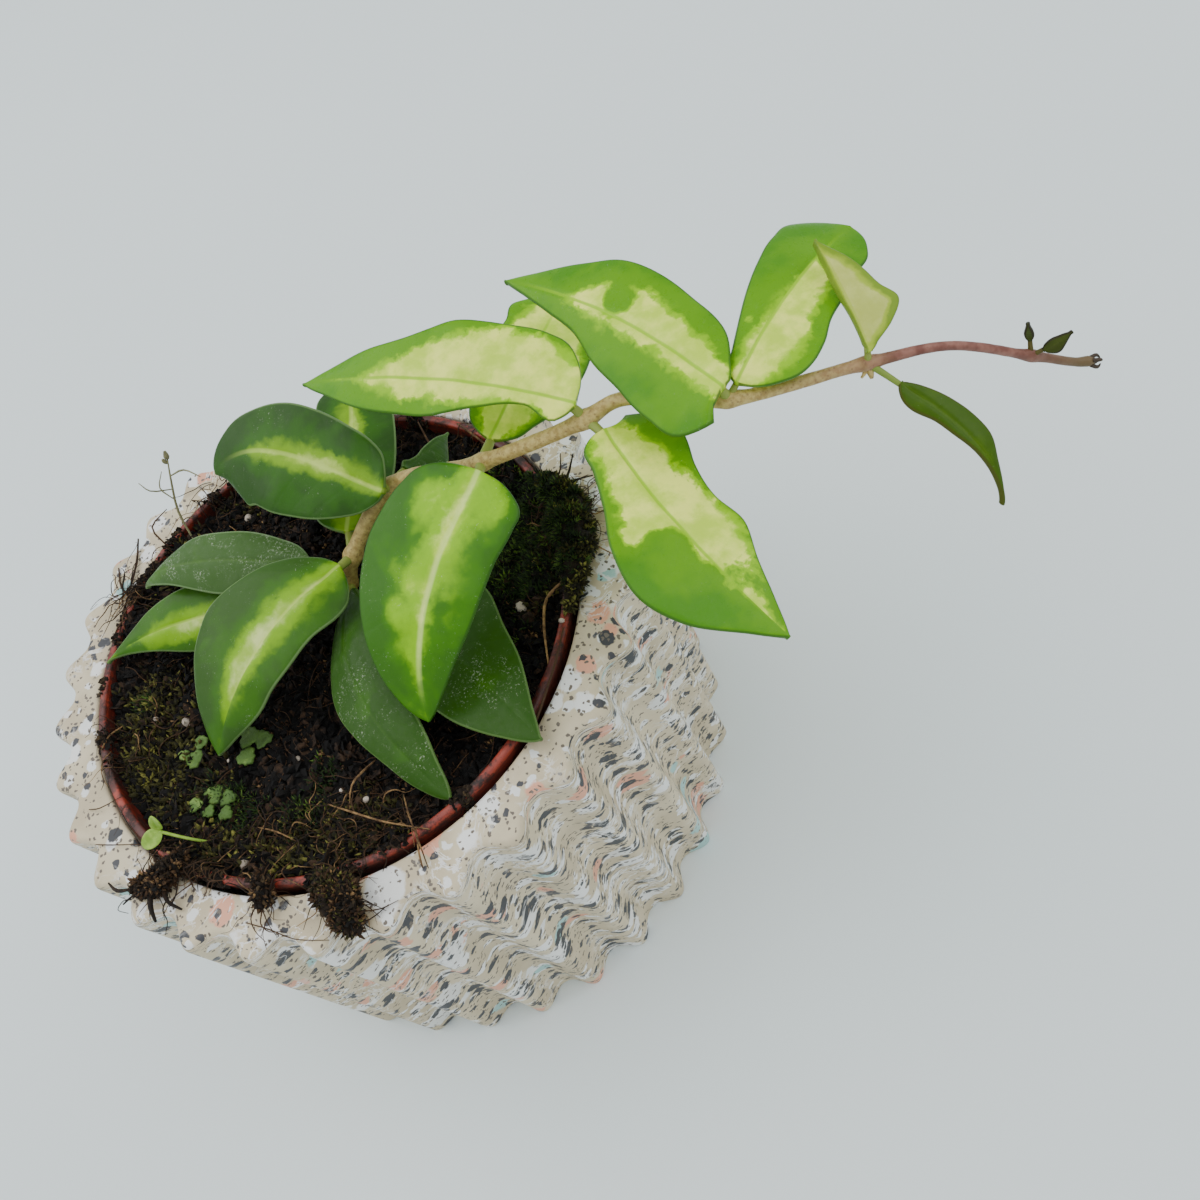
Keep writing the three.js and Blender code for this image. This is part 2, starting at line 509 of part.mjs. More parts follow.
function soil() {
  const foot = PLANTER_FLOOR + GAP + POT_WALL + GAP;
  const lip = POT_TOP - LIP_HEIGHT;
  const ring = (radius, height) => Array.from({ length: SOIL_SEGMENTS }, (_, i) => {
    const a = (2 * Math.PI * i) / SOIL_SEGMENTS;
    const x = radius * Math.cos(a);
    const y = radius * Math.sin(a);
    return new THREE.Vector3(x, y, height === undefined ? soilHeight(x, y) : height);
  });
  const rings = [
    ring(POT_FOOT_RADIUS - POT_WALL - 1.8, foot),
    ring(POT_RADIUS - 5.2, lip - 1.5),
    ring(POT_RADIUS - 3.4),
    ...[50, 43, 36, 29, 22, 15, 8].map((radius) => ring(radius)),
  ];
  const body = solidOf(loft(rings));
  return geometryOfSolid(largestPiece(body.subtract(solidOf(vineTube(GAP, 0.2)))));
}

// ---------------------------------------------------------------- clods and seedling

/** A closed tube along points, with a radius at each, drawn through steps + 1 rings. */
function limb(points, radii, steps, sides, flatness = 1) {
  const curve = new THREE.CatmullRomCurve3(points.map(vec));
  const radiusAt = (u) => {
    const at = u * (radii.length - 1);
    const low = Math.min(radii.length - 2, Math.floor(at));
    return THREE.MathUtils.lerp(radii[low], radii[low + 1], at - low);
  };
  const rings = Array.from({ length: steps + 1 }, (_, k) => {
    const u = k / steps;
    const tangent = curve.getTangent(u);
    const across = Math.abs(tangent.z) > 0.9 ? new THREE.Vector3(1, 0, 0) : new THREE.Vector3(0, 0, 1);
    const side = new THREE.Vector3().crossVectors(tangent, across).normalize();
    const up = new THREE.Vector3().crossVectors(side, tangent);
    return Array.from({ length: sides }, (_, i) => {
      const a = (2 * Math.PI * i) / sides;
      return curve.getPoint(u).addScaledVector(up, flatness * radiusAt(u) * Math.sin(a))
        .addScaledVector(side, -radiusAt(u) * Math.cos(a));
    });
  });
  return loft(rings);
}

/** A lumpy clod, cut so that it lies on the rim, on the planter's top and above the soil. */
function clod(path, settled) {
  const lumpy = path.map(([at, radius], k) => [at, radius * (1 + 0.12 * Math.sin(5 * k + at[0]))]);
  const body = solidOf(limb(lumpy.map((p) => p[0]), lumpy.map((p) => p[1]), CLOD_STEPS, CLOD_SIDES, 0.8));
  return geometryOfSolid(largestPiece(body.subtract(settled)));
}

function seedling() {
  const radii = SEEDLING_STALK.map(() => SEEDLING_RADIUS);
  let body = solidOf(limb(SEEDLING_STALK, radii, 4, 6));
  for (const leaf of SEED_LEAVES) {
    const blade = new THREE.SphereGeometry(0.5, 10, 6);
    blade.scale(leaf.length, leaf.width, SEED_LEAF_THICKNESS);
    const turn = new THREE.Quaternion().setFromUnitVectors(new THREE.Vector3(1, 0, 0), vec(leaf.along).normalize());
    blade.applyQuaternion(turn);
    blade.translate(...leaf.at);
    body = body.add(solidOf(blade));
  }
  return geometryOfSolid(largestPiece(body));
}

// ---------------------------------------------------------------- the whole plant

const terrazzo = material('#b9ae9d', 0.55);
const plastic = material('#a8432a', 0.5);
const peat = material('#1f1813', 0.95);
const bark = material('#a07c5c', 0.6);
const moss = material('#34401a', 0.95);
const weed = material('#8fb53c', 0.5);
const youngLeaf = material('#6ea024', 0.4);
const oldLeaf = material('#2f6428', 0.45);
const OLD_NODES = ['soil', 'low', 'crown', 'inner'];

// What the clods lie on, grown by the clearance: the planter, filled up, with the pot and the peat.
const settledOn = solidOf(planterOutside(GAP)).add(potBody(GAP));

const plant = new THREE.Group();
plant.add(named('planter', planter(), terrazzo));
plant.add(named('nursery_pot', nurseryPot(), plastic));
plant.add(named('soil', soil(), peat));
plant.add(named('vine_stem', vineTube(), bark));
plant.add(named('seedling', seedling(), weed));
for (const [name, path] of Object.entries(CLODS)) {
  plant.add(named(name, clod(path, settledOn), name.startsWith('moss') ? moss : peat));
}
for (const [name, leaf] of Object.entries(LEAVES)) {
  plant.add(named(name, leafGeometry(leaf), OLD_NODES.includes(leaf.node) ? oldLeaf : youngLeaf));
}

export default plant;
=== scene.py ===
# %% [markdown]
# # A potted hoya, dressed for the camera
# The plant is a variegated wax plant in a terracotta-coloured nursery pot, which is dropped into a
# fluted terrazzo planter. The CAD model already has every solid in its right place. This file
# makes a finer piece for each of them in the same place, and adds what a solid can't show: the
# leaves' cream and green, roots, moss and crumbs of peat.

# %% The frame, and the tools of the trade
import math
import random

import bmesh
import bpy
import numpy as np
from mathutils import Matrix, Vector, noise


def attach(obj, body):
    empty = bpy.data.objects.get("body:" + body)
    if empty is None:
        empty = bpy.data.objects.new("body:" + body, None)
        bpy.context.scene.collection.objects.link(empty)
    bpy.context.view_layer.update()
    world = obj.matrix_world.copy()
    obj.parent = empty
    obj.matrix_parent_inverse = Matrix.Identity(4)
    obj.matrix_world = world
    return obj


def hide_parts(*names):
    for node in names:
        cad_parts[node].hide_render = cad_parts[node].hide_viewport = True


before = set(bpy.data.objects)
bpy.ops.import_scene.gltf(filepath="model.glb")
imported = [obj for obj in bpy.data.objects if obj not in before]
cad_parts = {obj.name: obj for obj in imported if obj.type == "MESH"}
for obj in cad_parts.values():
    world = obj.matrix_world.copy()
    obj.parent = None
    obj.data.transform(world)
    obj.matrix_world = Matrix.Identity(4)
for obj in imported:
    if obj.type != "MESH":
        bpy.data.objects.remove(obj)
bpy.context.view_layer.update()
MM = 0.001
BODY = "root"
print("CAD nodes:", len(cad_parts))

# %% [markdown]
# ## The camera
# A photograph fixes where its camera stood. Here the round rim of the pot, the flutes and the foot
# of the planter gave it: it looks down at 55 degrees, held 33 degrees out of level. The camera's
# three axes are worked out from those two angles, so nothing has to be aimed by eye.

# %% Camera
CAMERA_AT = (0.05608, -0.16703, 0.27744)  # metres
LOOKS_DOWN = math.radians(55.18)
ROLLED = math.radians(33.117)
FOCAL_PX = 1093.2  # focal length in pixels of the photograph
PHOTO_PX = 1200
SENSOR = 36.0  # mm


def camera_matrix():
    """The camera's place and turn, from its two angles."""
    ahead = Vector((0, math.cos(LOOKS_DOWN), -math.sin(LOOKS_DOWN)))
    right = Vector((1, 0, 0))
    up = Vector((0, math.sin(LOOKS_DOWN), math.cos(LOOKS_DOWN)))
    x = math.cos(ROLLED) * right - math.sin(ROLLED) * up
    y = math.sin(ROLLED) * right + math.cos(ROLLED) * up
    turn = Matrix((x, y, -ahead)).transposed()
    return Matrix.Translation(CAMERA_AT) @ turn.to_4x4()


def linked(name, data):
    """A new object, put into the scene."""
    thing = bpy.data.objects.new(name, data)
    bpy.context.scene.collection.objects.link(thing)
    return thing


camera_data = bpy.data.cameras.new("camera")
camera_data.sensor_width = SENSOR
camera_data.lens = SENSOR * FOCAL_PX / PHOTO_PX
camera_data.clip_start = 10 * MM
camera = linked("camera", camera_data)
camera.matrix_world = camera_matrix()
bpy.context.scene.camera = camera
print("lens in mm:", round(camera_data.lens, 2))

# %% [markdown]
# ## Helpers for nodes and colours
# Both shaders and Geometry Nodes are trees of nodes. One helper adds a node, sets it up and plugs
# it in, so that a recipe reads from top to bottom like a list. Three kinds come back again and
# again: Map Range makes a smooth step between two numbers, Mix blends two colours by such a step,
# and Noise gives the clouds and grain. Colours are written as a painter or web designer would, in
# sRGB hex, and turned to the linear values that Blender works in.

# %% Node and colour helpers


def linear(hex_colour):
    """An sRGB hex colour as linear RGBA."""
    parts = [int(hex_colour[k:k + 2], 16) / 255 for k in (1, 3, 5)]
    return (*(c / 12.92 if c <= 0.04045 else ((c + 0.055) / 1.055) ** 2.4 for c in parts), 1.0)


def add(tree, kind, inputs=(), out=None, **settings):
    """Adds a node and plugs it in. A shader node's kind is written without its prefix.

    inputs gives the sockets a value, a hex colour or another node's output, by place in a list or
    by name in a dictionary. With out, that output comes back instead of the node.
    """
    node = tree.nodes.new(kind if "Node" in kind else "ShaderNode" + kind)
    for name, value in settings.items():
        setattr(node, name, value)
    for socket, value in inputs.items() if isinstance(inputs, dict) else enumerate(inputs):
        if isinstance(value, bpy.types.NodeSocket):
            tree.links.new(value, node.inputs[socket])
        else:
            hex_colour = isinstance(value, str) and value.startswith("#")
            node.inputs[socket].default_value = linear(value) if hex_colour else value
    return node if out is None else node.outputs[out]


def clouds(where, size_mm, detail=3.0, roughness=0.55, distortion=0.0):
    """What a noise texture needs for features of about size_mm, as coordinates are in metres."""
    return {"Vector": where, "Scale": 1 / (size_mm * MM), "Detail": detail, "Roughness": roughness,
            "Distortion": distortion}


SMOOTH = {"interpolation_type": "SMOOTHSTEP"}  # a Map Range that steps softly from one number to another
COLOURS = {"data_type": "RGBA"}  # a Mix of two colours


def new_material(name, ior=1.45, roughness=0.5):
    """A material with a Principled shader, and the object's own coordinates in metres."""
    material = bpy.data.materials.new(name)
    material.use_nodes = True
    tree = material.node_tree
    shader = tree.nodes["Principled BSDF"]
    shader.inputs["IOR"].default_value = ior
    shader.inputs["Roughness"].default_value = roughness
    where = add(tree, "TexCoord", out="Object")
    return material, tree, shader, where


print("helpers ready")

# %% [markdown]
# ## Helpers for pieces
# Every finished piece is a plain mesh at the origin that rides on the body, so its place is in its own
# points. Where a piece stands for a CAD solid, it names it, and the solid is hidden.

# %% Piece helpers


def mesh_object(name, points_mm, faces, material, smooth=True):
    """A mesh object from points in mm."""
    mesh = bpy.data.meshes.new(name)
    mesh.from_pydata([tuple(c * MM for c in p) for p in points_mm], [], faces)
    mesh.materials.append(material)
    mesh.polygons.foreach_set("use_smooth", [smooth] * len(mesh.polygons))
    mesh.update()
    return linked(name, mesh)


def carry(thing, name, values):
    """Stores one number for each point of the mesh under a name."""
    stored = thing.data.attributes.new(name, "FLOAT", "POINT")
    stored.data.foreach_set("value", np.asarray(values, dtype=np.float32))


def outward(thing):
    """Merges doubles, and turns every face outwards."""
    work = bmesh.new()
    work.from_mesh(thing.data)
    bmesh.ops.remove_doubles(work, verts=work.verts, dist=1e-6)
    bmesh.ops.recalc_face_normals(work, faces=work.faces)
    work.to_mesh(thing.data)
    work.free()


def finish(thing, slot, *nodes):
    """The piece rides on the body and stands for CAD nodes. The argument slot is not used."""
    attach(thing, BODY)
    if nodes:
        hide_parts(*nodes)
    print(f"{thing.name}: {len(thing.data.polygons)} faces")


def baked(thing):
    """The object's evaluated mesh as a plain mesh, with its modifiers gone."""
    graph = bpy.context.evaluated_depsgraph_get()
    mesh = bpy.data.meshes.new_from_object(thing.evaluated_get(graph), preserve_all_data_layers=True,
                                           depsgraph=graph)
    thing.modifiers.clear()
    thing.data = mesh
    mesh.name = thing.name
    return thing


def run_tree(thing, tree, **inputs):
    """Runs a Geometry Nodes tree on an object, with its inputs set by name."""
    modifier = thing.modifiers.new(tree.name, "NODES")
    modifier.node_group = tree
    sockets = {s.name: s.identifier for s in tree.interface.items_tree
               if s.item_type == "SOCKET" and s.in_out == "INPUT"}
    for name, value in inputs.items():
        modifier[sockets[name.replace("_", " ")]] = value
    return baked(thing)


def new_tree(name, **inputs):
    """A Geometry Nodes tree with a geometry going in and out, and an input for each default."""
    tree = bpy.data.node_groups.new(name, "GeometryNodeTree")
    tree.interface.new_socket("Geometry", in_out="INPUT", socket_type="NodeSocketGeometry")
    tree.interface.new_socket("Geometry", in_out="OUTPUT", socket_type="NodeSocketGeometry")
    for label, default in inputs.items():
        kind = "NodeSocketInt" if isinstance(default, int) else "NodeSocketFloat"
        socket = tree.interface.new_socket(label.replace("_", " "), in_out="INPUT", socket_type=kind)
        socket.default_value = default
    return (tree, add(tree, "NodeGroupInput"), add(tree, "NodeGroupOutput"))


def close_tree(tree, geometry, material, output):
    """Every tree ends the same way: real geometry instead of instances, and a material."""
    real = add(tree, "GeometryNodeRealizeInstances", [geometry])
    dressed = add(tree, "GeometryNodeSetMaterial", {"Geometry": real.outputs[0], "Material": material})
    tree.links.new(dressed.outputs[0], output.inputs[0])


print("piece helpers ready")

# %% [markdown]
# ## Finishes of the pot and the planter
# The planter is cast terrazzo: chips of coloured stone and resin in a warm grey binder. On the flat
# top the chips lie as they fell, and on the side the mould has drawn them out into wavy streaks. A
# Voronoi texture breaks space into cells, and each cell's random number says whether it is a chip
# and of which colour. Noise bends the coordinates first, so that no chip has straight sides.

# %% Terrazzo and plastic
CHIPS = [  # colour, size in mm, and the share of the cells that are chips on top and on the side
    ("#e4e3de", 11.0, 0.13, 0.15), ("#efeeea", 6.5, 0.30, 0.36), ("#eaeae6", 3.4, 0.28, 0.30),
    ("#e2a384", 7.5, 0.13, 0.17), ("#a4cdc8", 8.0, 0.06, 0.08), ("#36373b", 4.4, 0.10, 0.29),
    ("#3f3f43", 2.4, 0.15, 0.32), ("#6a6054", 1.0, 0.30, 0.34)]
TOP_TO_SIDE = (87.5 * MM, 85.0 * MM)  # over this drop the top's pattern turns into the side's
SWEEP = 9 * MM                        # how far the mould drew the pattern on the side
RAGGED_TOP, RAGGED_SIDE = 2.6 * MM, 4.2 * MM  # how far noise bends the chips' outlines


def cast_terrazzo():
    """Matt cast terrazzo: IOR of cement and resin, a dry skin, and chips that differ a little in gloss."""
    material, tree, shader, where = new_material("cast_terrazzo", ior=1.5, roughness=0.62)
    height = add(tree, "SeparateXYZ", [where], 2)
    side = add(tree, "MapRange", [height, *TOP_TO_SIDE], 0, **SMOOTH)
    # On the side the pattern is drawn out: squeezed along Z and swept by broad waves.
    sweep = add(tree, "TexNoise", clouds(where, 24, 1.0), "Color")
    swept = add(tree, "VectorMath", [sweep, (0.5, 0.5, 0.5)], 0, operation="SUBTRACT")
    amount = add(tree, "Math", [side, SWEEP], 0, operation="MULTIPLY")
    swept = add(tree, "VectorMath", {0: swept, "Scale": amount}, 0, operation="SCALE")
    stretched = add(tree, "VectorMath", [where, (0.8, 0.8, 1.3)], 0, operation="MULTIPLY")
    flat_or_side = add(tree, "Mix", {0: side, 4: where, 5: stretched}, 1, data_type="VECTOR")
    base = add(tree, "VectorMath", [flat_or_side, swept], 0, operation="ADD")
    ragged = add(tree, "TexNoise", clouds(base, 3.2, 3.0, 0.6), "Color")
    ragged = add(tree, "VectorMath", [ragged, (0.5, 0.5, 0.5)], 0, operation="SUBTRACT")
    reach = add(tree, "MapRange", [height, *TOP_TO_SIDE, RAGGED_TOP, RAGGED_SIDE], 0, **SMOOTH)
    ragged = add(tree, "VectorMath", {0: ragged, "Scale": reach}, 0, operation="SCALE")
    bent = add(tree, "VectorMath", [base, ragged], 0, operation="ADD")

    cloud = add(tree, "TexNoise", clouds(where, 14, 4.0), "Fac")
    part = add(tree, "MapRange", [cloud, 0.35, 0.65], 0, **SMOOTH)
    colour = add(tree, "Mix", {0: part, 6: "#c6b798", 7: "#d8caab"}, 2, **COLOURS)
    chip_mask = 0.0
    for k, (hex_colour, size, share_on_top, share_on_side) in enumerate(CHIPS):
        place = add(tree, "VectorMath", [bent, (0.037 * k, 0.021 * k, 0.053 * k)], 0, operation="ADD")
        cells = add(tree, "TexVoronoi", {"Vector": place, "Scale": 1 / (size * MM), "Randomness": 1.0})
        number = add(tree, "SeparateColor", [cells.outputs["Color"]], 0)
        share = add(tree, "MapRange", [height, *TOP_TO_SIDE, share_on_top, share_on_side], 0, **SMOOTH)
        chosen = add(tree, "Math", [number, share], 0, operation="LESS_THAN")
        core = add(tree, "MapRange", [cells.outputs["Distance"], 0.44, 0.36], 0, **SMOOTH)
        chip = add(tree, "Math", [chosen, core], 0, operation="MULTIPLY")
        colour = add(tree, "Mix", {0: chip, 6: colour, 7: hex_colour}, 2, **COLOURS)
        chip_mask = add(tree, "Math", [chip_mask, chip], 0, operation="MAXIMUM")
    # White resin ran between the chips in thin wisps, thick in some places and absent in others.
    wisp = add(tree, "TexNoise", clouds(base, 7, 5.0, 0.65, 0.9), "Fac")
    band = add(tree, "Math", [wisp, 0.5], 0, operation="SUBTRACT")
    band = add(tree, "Math", [band], 0, operation="ABSOLUTE")
    band = add(tree, "MapRange", [band, 0.03, 0.012], 0, **SMOOTH)
    fade = add(tree, "TexNoise", clouds(where, 17, 2.0), "Fac")
    fade = add(tree, "MapRange", [fade, 0.47, 0.62, 0, 0.85], 0, **SMOOTH)
    band = add(tree, "Math", [band, fade], 0, operation="MULTIPLY")
    colour = add(tree, "Mix", {0: band, 6: colour, 7: "#efeeea"}, 2, **COLOURS)
    tree.links.new(colour, shader.inputs["Base Color"])
    dull = add(tree, "MapRange", [chip_mask, 0, 1, 0.68, 0.5], 0, **SMOOTH)
    tree.links.new(dull, shader.inputs["Roughness"])
    grain = add(tree, "TexNoise", clouds(where, 0.7, 3.0), "Fac")
    part = add(tree, "Math", [chip_mask, 0.3], 0, operation="MULTIPLY")
    rough = add(tree, "Math", [grain, part], 0, operation="SUBTRACT")
    relief = add(tree, "Bump", {"Height": rough, "Distance": 0.12 * MM, "Strength": 0.6}, 0)
    tree.links.new(relief, shader.inputs["Normal"])
    return material


# Below these heights the pot is painted darker: painted shade under the lip, with a peat stain on the inner
# wall.
SHADE_AND_STAIN_STARTS = (88.6 * MM, 87.8 * MM)  # heights between which the pot's lip turns to stained wall


def pot_plastic():
    """Injection-moulded polypropylene: thin, satin, with fine drawn lines round it and dust on the lip."""
    material, tree, shader, where = new_material("moulded_polypropylene", ior=1.49, roughness=0.45)
    lines = add(tree, "VectorMath", [where, (1, 1, 14)], 0, operation="MULTIPLY")
    lines = add(tree, "TexNoise", clouds(lines, 6, 2.0))
    dust = add(tree, "TexNoise", clouds(where, 6, 6.0, 0.85), "Fac")
    amount = add(tree, "MapRange", [lines.outputs["Fac"], 0.3, 0.7], 0, **SMOOTH)
    colour = add(tree, "Mix", {0: amount, 6: "#7f2919", 7: "#a33d29"}, 2, **COLOURS)
    smear = add(tree, "TexNoise", clouds(where, 9, 4.0, 0.7), "Fac")
    amount = add(tree, "MapRange", [smear, 0.44, 0.57, 0, 0.85], 0, **SMOOTH)
    colour = add(tree, "Mix", {0: amount, 6: colour, 7: "#3f1a11"}, 2, **COLOURS)
    amount = add(tree, "MapRange", [dust, 0.46, 0.6, 0, 0.9], 0, **SMOOTH)
    colour = add(tree, "Mix", {0: amount, 6: colour, 7: "#1d130c"}, 2, **COLOURS)
    # Below the lip the wall is painted darker: painted shade in the recess under the lip and in the gap to
    # the planter, and a stain of wet peat on the inner wall.
    height = add(tree, "SeparateXYZ", [where], 2)
    amount = add(tree, "MapRange", [height, *SHADE_AND_STAIN_STARTS, 0, 0.7], 0, **SMOOTH)
    colour = add(tree, "Mix", {0: amount, 6: colour, 7: "#35120b"}, 2, **COLOURS)
    tree.links.new(colour, shader.inputs["Base Color"])
    dull = add(tree, "MapRange", [dust, 0.4, 0.7, 0.4, 0.75], 0, **SMOOTH)
    tree.links.new(dull, shader.inputs["Roughness"])
    relief = add(tree, "Bump", {"Height": lines.outputs["Fac"], "Distance": 0.08 * MM, "Strength": 0.5}, 0)
    tree.links.new(relief, shader.inputs["Normal"])
    return material


terrazzo = cast_terrazzo()
plastic = pot_plastic()
print("finishes:", terrazzo.name, plastic.name)

# %% [markdown]
# ## The fluted planter
# The planter is a shape with a rule: one profile goes round an axis, and thirty flutes are cut into
# its outside. A Geometry Nodes tree follows the rule. It reads the profile from the piece's own
# points, lays a grid out round the axis, and pulls each point in by the depth of the flute there.
# A cosine raised to a power makes crests that are narrower than the valleys, as on the real one.

# %% A tree that turns a profile round an axis
PLANTER_HEIGHT = 88.0  # mm, as are the other sizes
CREST_RADIUS = 74.3
FLUTE_DEPTH = 4.6
FLUTES = 30
FIRST_CREST = 7.75  # degrees from +X
CREST_POWER = 1.25
EDGE_ROUND = 2.2
BORE_RADIUS = 61.3
PLANTER_FLOOR = 8.0


def turned_profile_tree():
    """Turns the piece's own profile round Z. Its attribute flute says where the flutes bite."""
    tree, given, output = new_tree("turned profile", Around=300, Flutes=float(FLUTES),
                                   Flute_Depth=FLUTE_DEPTH * MM, First_Crest=0.0, Crest_Power=CREST_POWER)
    tree.interface.new_socket("Material", in_out="INPUT", socket_type="NodeSocketMaterial")
    profile = given.outputs["Geometry"]
    rows = add(tree, "GeometryNodeAttributeDomainSize", [profile], "Point Count")
    around = add(tree, "Math", [given.outputs["Around"], 1], 0, operation="ADD")
    grid = add(tree, "GeometryNodeMeshGrid",
               {"Size X": 1.0, "Size Y": 1.0, "Vertices X": around, "Vertices Y": rows})
    spot = add(tree, "SeparateXYZ", [add(tree, "GeometryNodeInputPosition", out=0)])
    last = add(tree, "Math", [rows, 1], 0, operation="SUBTRACT")
    row = add(tree, "Math", [spot.outputs[1], 0.5], 0, operation="ADD")
    row = add(tree, "Math", [row, last], 0, operation="MULTIPLY")
    row = add(tree, "Math", [row], 0, operation="ROUND")
    point = add(tree, "GeometryNodeSampleIndex", data_type="FLOAT_VECTOR", domain="POINT")
    tree.links.new(profile, point.inputs["Geometry"])
    tree.links.new(add(tree, "GeometryNodeInputPosition", out=0), point.inputs["Value"])
    tree.links.new(row, point.inputs["Index"])
    bite = add(tree, "GeometryNodeSampleIndex", data_type="FLOAT", domain="POINT")
    tree.links.new(profile, bite.inputs["Geometry"])
    flute = add(tree, "GeometryNodeInputNamedAttribute", {"Name": "flute"}, 0, data_type="FLOAT")
    tree.links.new(flute, bite.inputs["Value"])
    tree.links.new(row, bite.inputs["Index"])
    placed = add(tree, "SeparateXYZ", [point.outputs[0]])
    angle = add(tree, "Math", [spot.outputs[0], 0.5], 0, operation="ADD")
    angle = add(tree, "Math", [angle, 2 * math.pi], 0, operation="MULTIPLY")
    turned = add(tree, "Math", [angle, given.outputs["First Crest"]], 0, operation="SUBTRACT")
    turned = add(tree, "Math", [turned, given.outputs["Flutes"]], 0, operation="MULTIPLY")
    wave = add(tree, "Math", [turned], 0, operation="COSINE")
    wave = add(tree, "Math", [wave, 0.5, 0.5], 0, operation="MULTIPLY_ADD", use_clamp=True)
    crest = add(tree, "Math", [wave, given.outputs["Crest Power"]], 0, operation="POWER")
    cut = add(tree, "Math", [1.0, crest], 0, operation="SUBTRACT")
    cut = add(tree, "Math", [cut, given.outputs["Flute Depth"]], 0, operation="MULTIPLY")
    cut = add(tree, "Math", [cut, bite.outputs[0]], 0, operation="MULTIPLY")
    radius = add(tree, "Math", [placed.outputs[0], cut], 0, operation="SUBTRACT")
    cosine = add(tree, "Math", [angle], 0, operation="COSINE")
    x = add(tree, "Math", [radius, cosine], 0, operation="MULTIPLY")
    sine = add(tree, "Math", [angle], 0, operation="SINE")
    y = add(tree, "Math", [radius, sine], 0, operation="MULTIPLY")
    there = add(tree, "CombineXYZ", [x, y, placed.outputs[2]], 0)
    moved = add(tree, "GeometryNodeSetPosition", {"Geometry": grid.outputs[0], "Position": there}, 0)
    closed = add(tree, "GeometryNodeMergeByDistance", {"Geometry": moved, "Distance": 1e-6}, 0)
    close_tree(tree, closed, given.outputs["Material"], output)
    return tree


def profile_object(name, profile):
    """An object whose points are a profile: radius and height in mm, and how far the flutes bite."""
    mesh = bpy.data.meshes.new(name)
    mesh.from_pydata([(r * MM, 0, z * MM) for r, z, _ in profile],
                     [(k, k + 1) for k in range(len(profile) - 1)], [])
    thing = linked(name, mesh)
    carry(thing, "flute", [bite for _, _, bite in profile])
    return thing


turned_profile = turned_profile_tree()
print("tree inputs:", [s.name for s in turned_profile.interface.items_tree if s.in_out == "INPUT"])

# %% The planter
# Each point of the profile is a radius, a height and how far the flutes bite there, from 0 to 1.
EDGE_STEPS, FOOT_STEPS, WALL_STEPS = 6, 4, 30
foot_round = EDGE_ROUND / 2
planter_profile = [(0, 0, 0), (30, 0, 0), (58, 0, 0), (66, 0, 0.6)]
for k in range(FOOT_STEPS + 1):
    a = math.radians(90 * k / FOOT_STEPS)
    planter_profile.append((CREST_RADIUS - foot_round * (1 - math.sin(a)), foot_round * (1 - math.cos(a)), 1))
wall_height = PLANTER_HEIGHT - EDGE_ROUND - foot_round
for k in range(1, WALL_STEPS):
    planter_profile.append((CREST_RADIUS, foot_round + wall_height * k / WALL_STEPS, 1))
for k in range(EDGE_STEPS + 1):
    a = math.radians(90 * k / EDGE_STEPS)
    planter_profile.append((CREST_RADIUS - EDGE_ROUND * (1 - math.cos(a)),
                            PLANTER_HEIGHT - EDGE_ROUND * (1 - math.sin(a)), 1))
for radius, below_top, bite in ((69.8, 0, 0.75), (67, 0, 0.4), (64, 0, 0.1), (62.1, 0, 0), (61.5, 0.2, 0),
                                (BORE_RADIUS, 0.8, 0)):
    planter_profile.append((radius, PLANTER_HEIGHT - below_top, bite))
planter_profile += [(BORE_RADIUS, 75, 0), (BORE_RADIUS, 48, 0), (59.3, 10, 0)]
planter_profile += [(radius, PLANTER_FLOOR, 0) for radius in (56.3, 30, 0)]
planter = run_tree(profile_object("terrazzo_planter", planter_profile), turned_profile, Around=900,
                   Flutes=float(FLUTES), Flute_Depth=FLUTE_DEPTH * MM,
                   First_Crest=math.radians(FIRST_CREST), Crest_Power=CREST_POWER, Material=terrazzo)
outward(planter)
planter.data.polygons.foreach_set("use_smooth", [True] * len(planter.data.polygons))
finish(planter, "terrazzo", "planter")

# %% [markdown]
# ## The nursery pot
# The thin plastic pot is turned by the same tree with no flutes. Its six drain holes are then cut
# with a Boolean modifier, which is the plain way to drill a wall.

# %% Nursery pot
POT_RADIUS = 60.0
POT_TOP = 89.4
POT_FOOT_RADIUS = 43.0
POT_WALL = 1.2
LIP_HEIGHT = 8.5
GAP = 0.35
DRAIN_HOLES, DRAIN_CIRCLE, DRAIN_RADIUS = 6, 28.0, 4.5
pot_foot = PLANTER_FLOOR + GAP
pot_lip = POT_TOP - LIP_HEIGHT
inner_foot = POT_FOOT_RADIUS - POT_WALL
pot_profile = [(0, pot_foot), (POT_FOOT_RADIUS, pot_foot), (POT_FOOT_RADIUS + 1, pot_foot + 1)]
# The lip: how far each point lies inside the pot's radius, and its height.
for inside, height in ((2.8, pot_lip - 0.6), (0.4, pot_lip), (0.2, pot_lip + 4), (0, POT_TOP - 0.5),
                       (0.15, POT_TOP - 0.15), (0.5, POT_TOP), (1.5, POT_TOP), (1.85, POT_TOP - 0.2),
                       (1.9, POT_TOP - 0.6), (2.3, pot_lip + 2), (4.1, pot_lip - 0.6)):
    pot_profile.append((POT_RADIUS - inside, height))
pot_profile += [(inner_foot, pot_foot + POT_WALL + 0.8), (inner_foot - 1, pot_foot + POT_WALL),
                (0, pot_foot + POT_WALL)]
pot = run_tree(profile_object("plastic_nursery_pot", [(r, z, 0) for r, z in pot_profile]), turned_profile,
               Around=240, Flutes=0.0, Flute_Depth=0.0, First_Crest=0.0, Crest_Power=1.0, Material=plastic)
outward(pot)
drills = bmesh.new()
for k in range(DRAIN_HOLES):
    a = 2 * math.pi * k / DRAIN_HOLES
    placed = Matrix.Translation((DRAIN_CIRCLE * MM * math.cos(a), DRAIN_CIRCLE * MM * math.sin(a), 9 * MM))
    bmesh.ops.create_cone(drills, cap_ends=True, segments=24, radius1=DRAIN_RADIUS * MM,
                          radius2=DRAIN_RADIUS * MM, depth=8 * MM, matrix=placed)
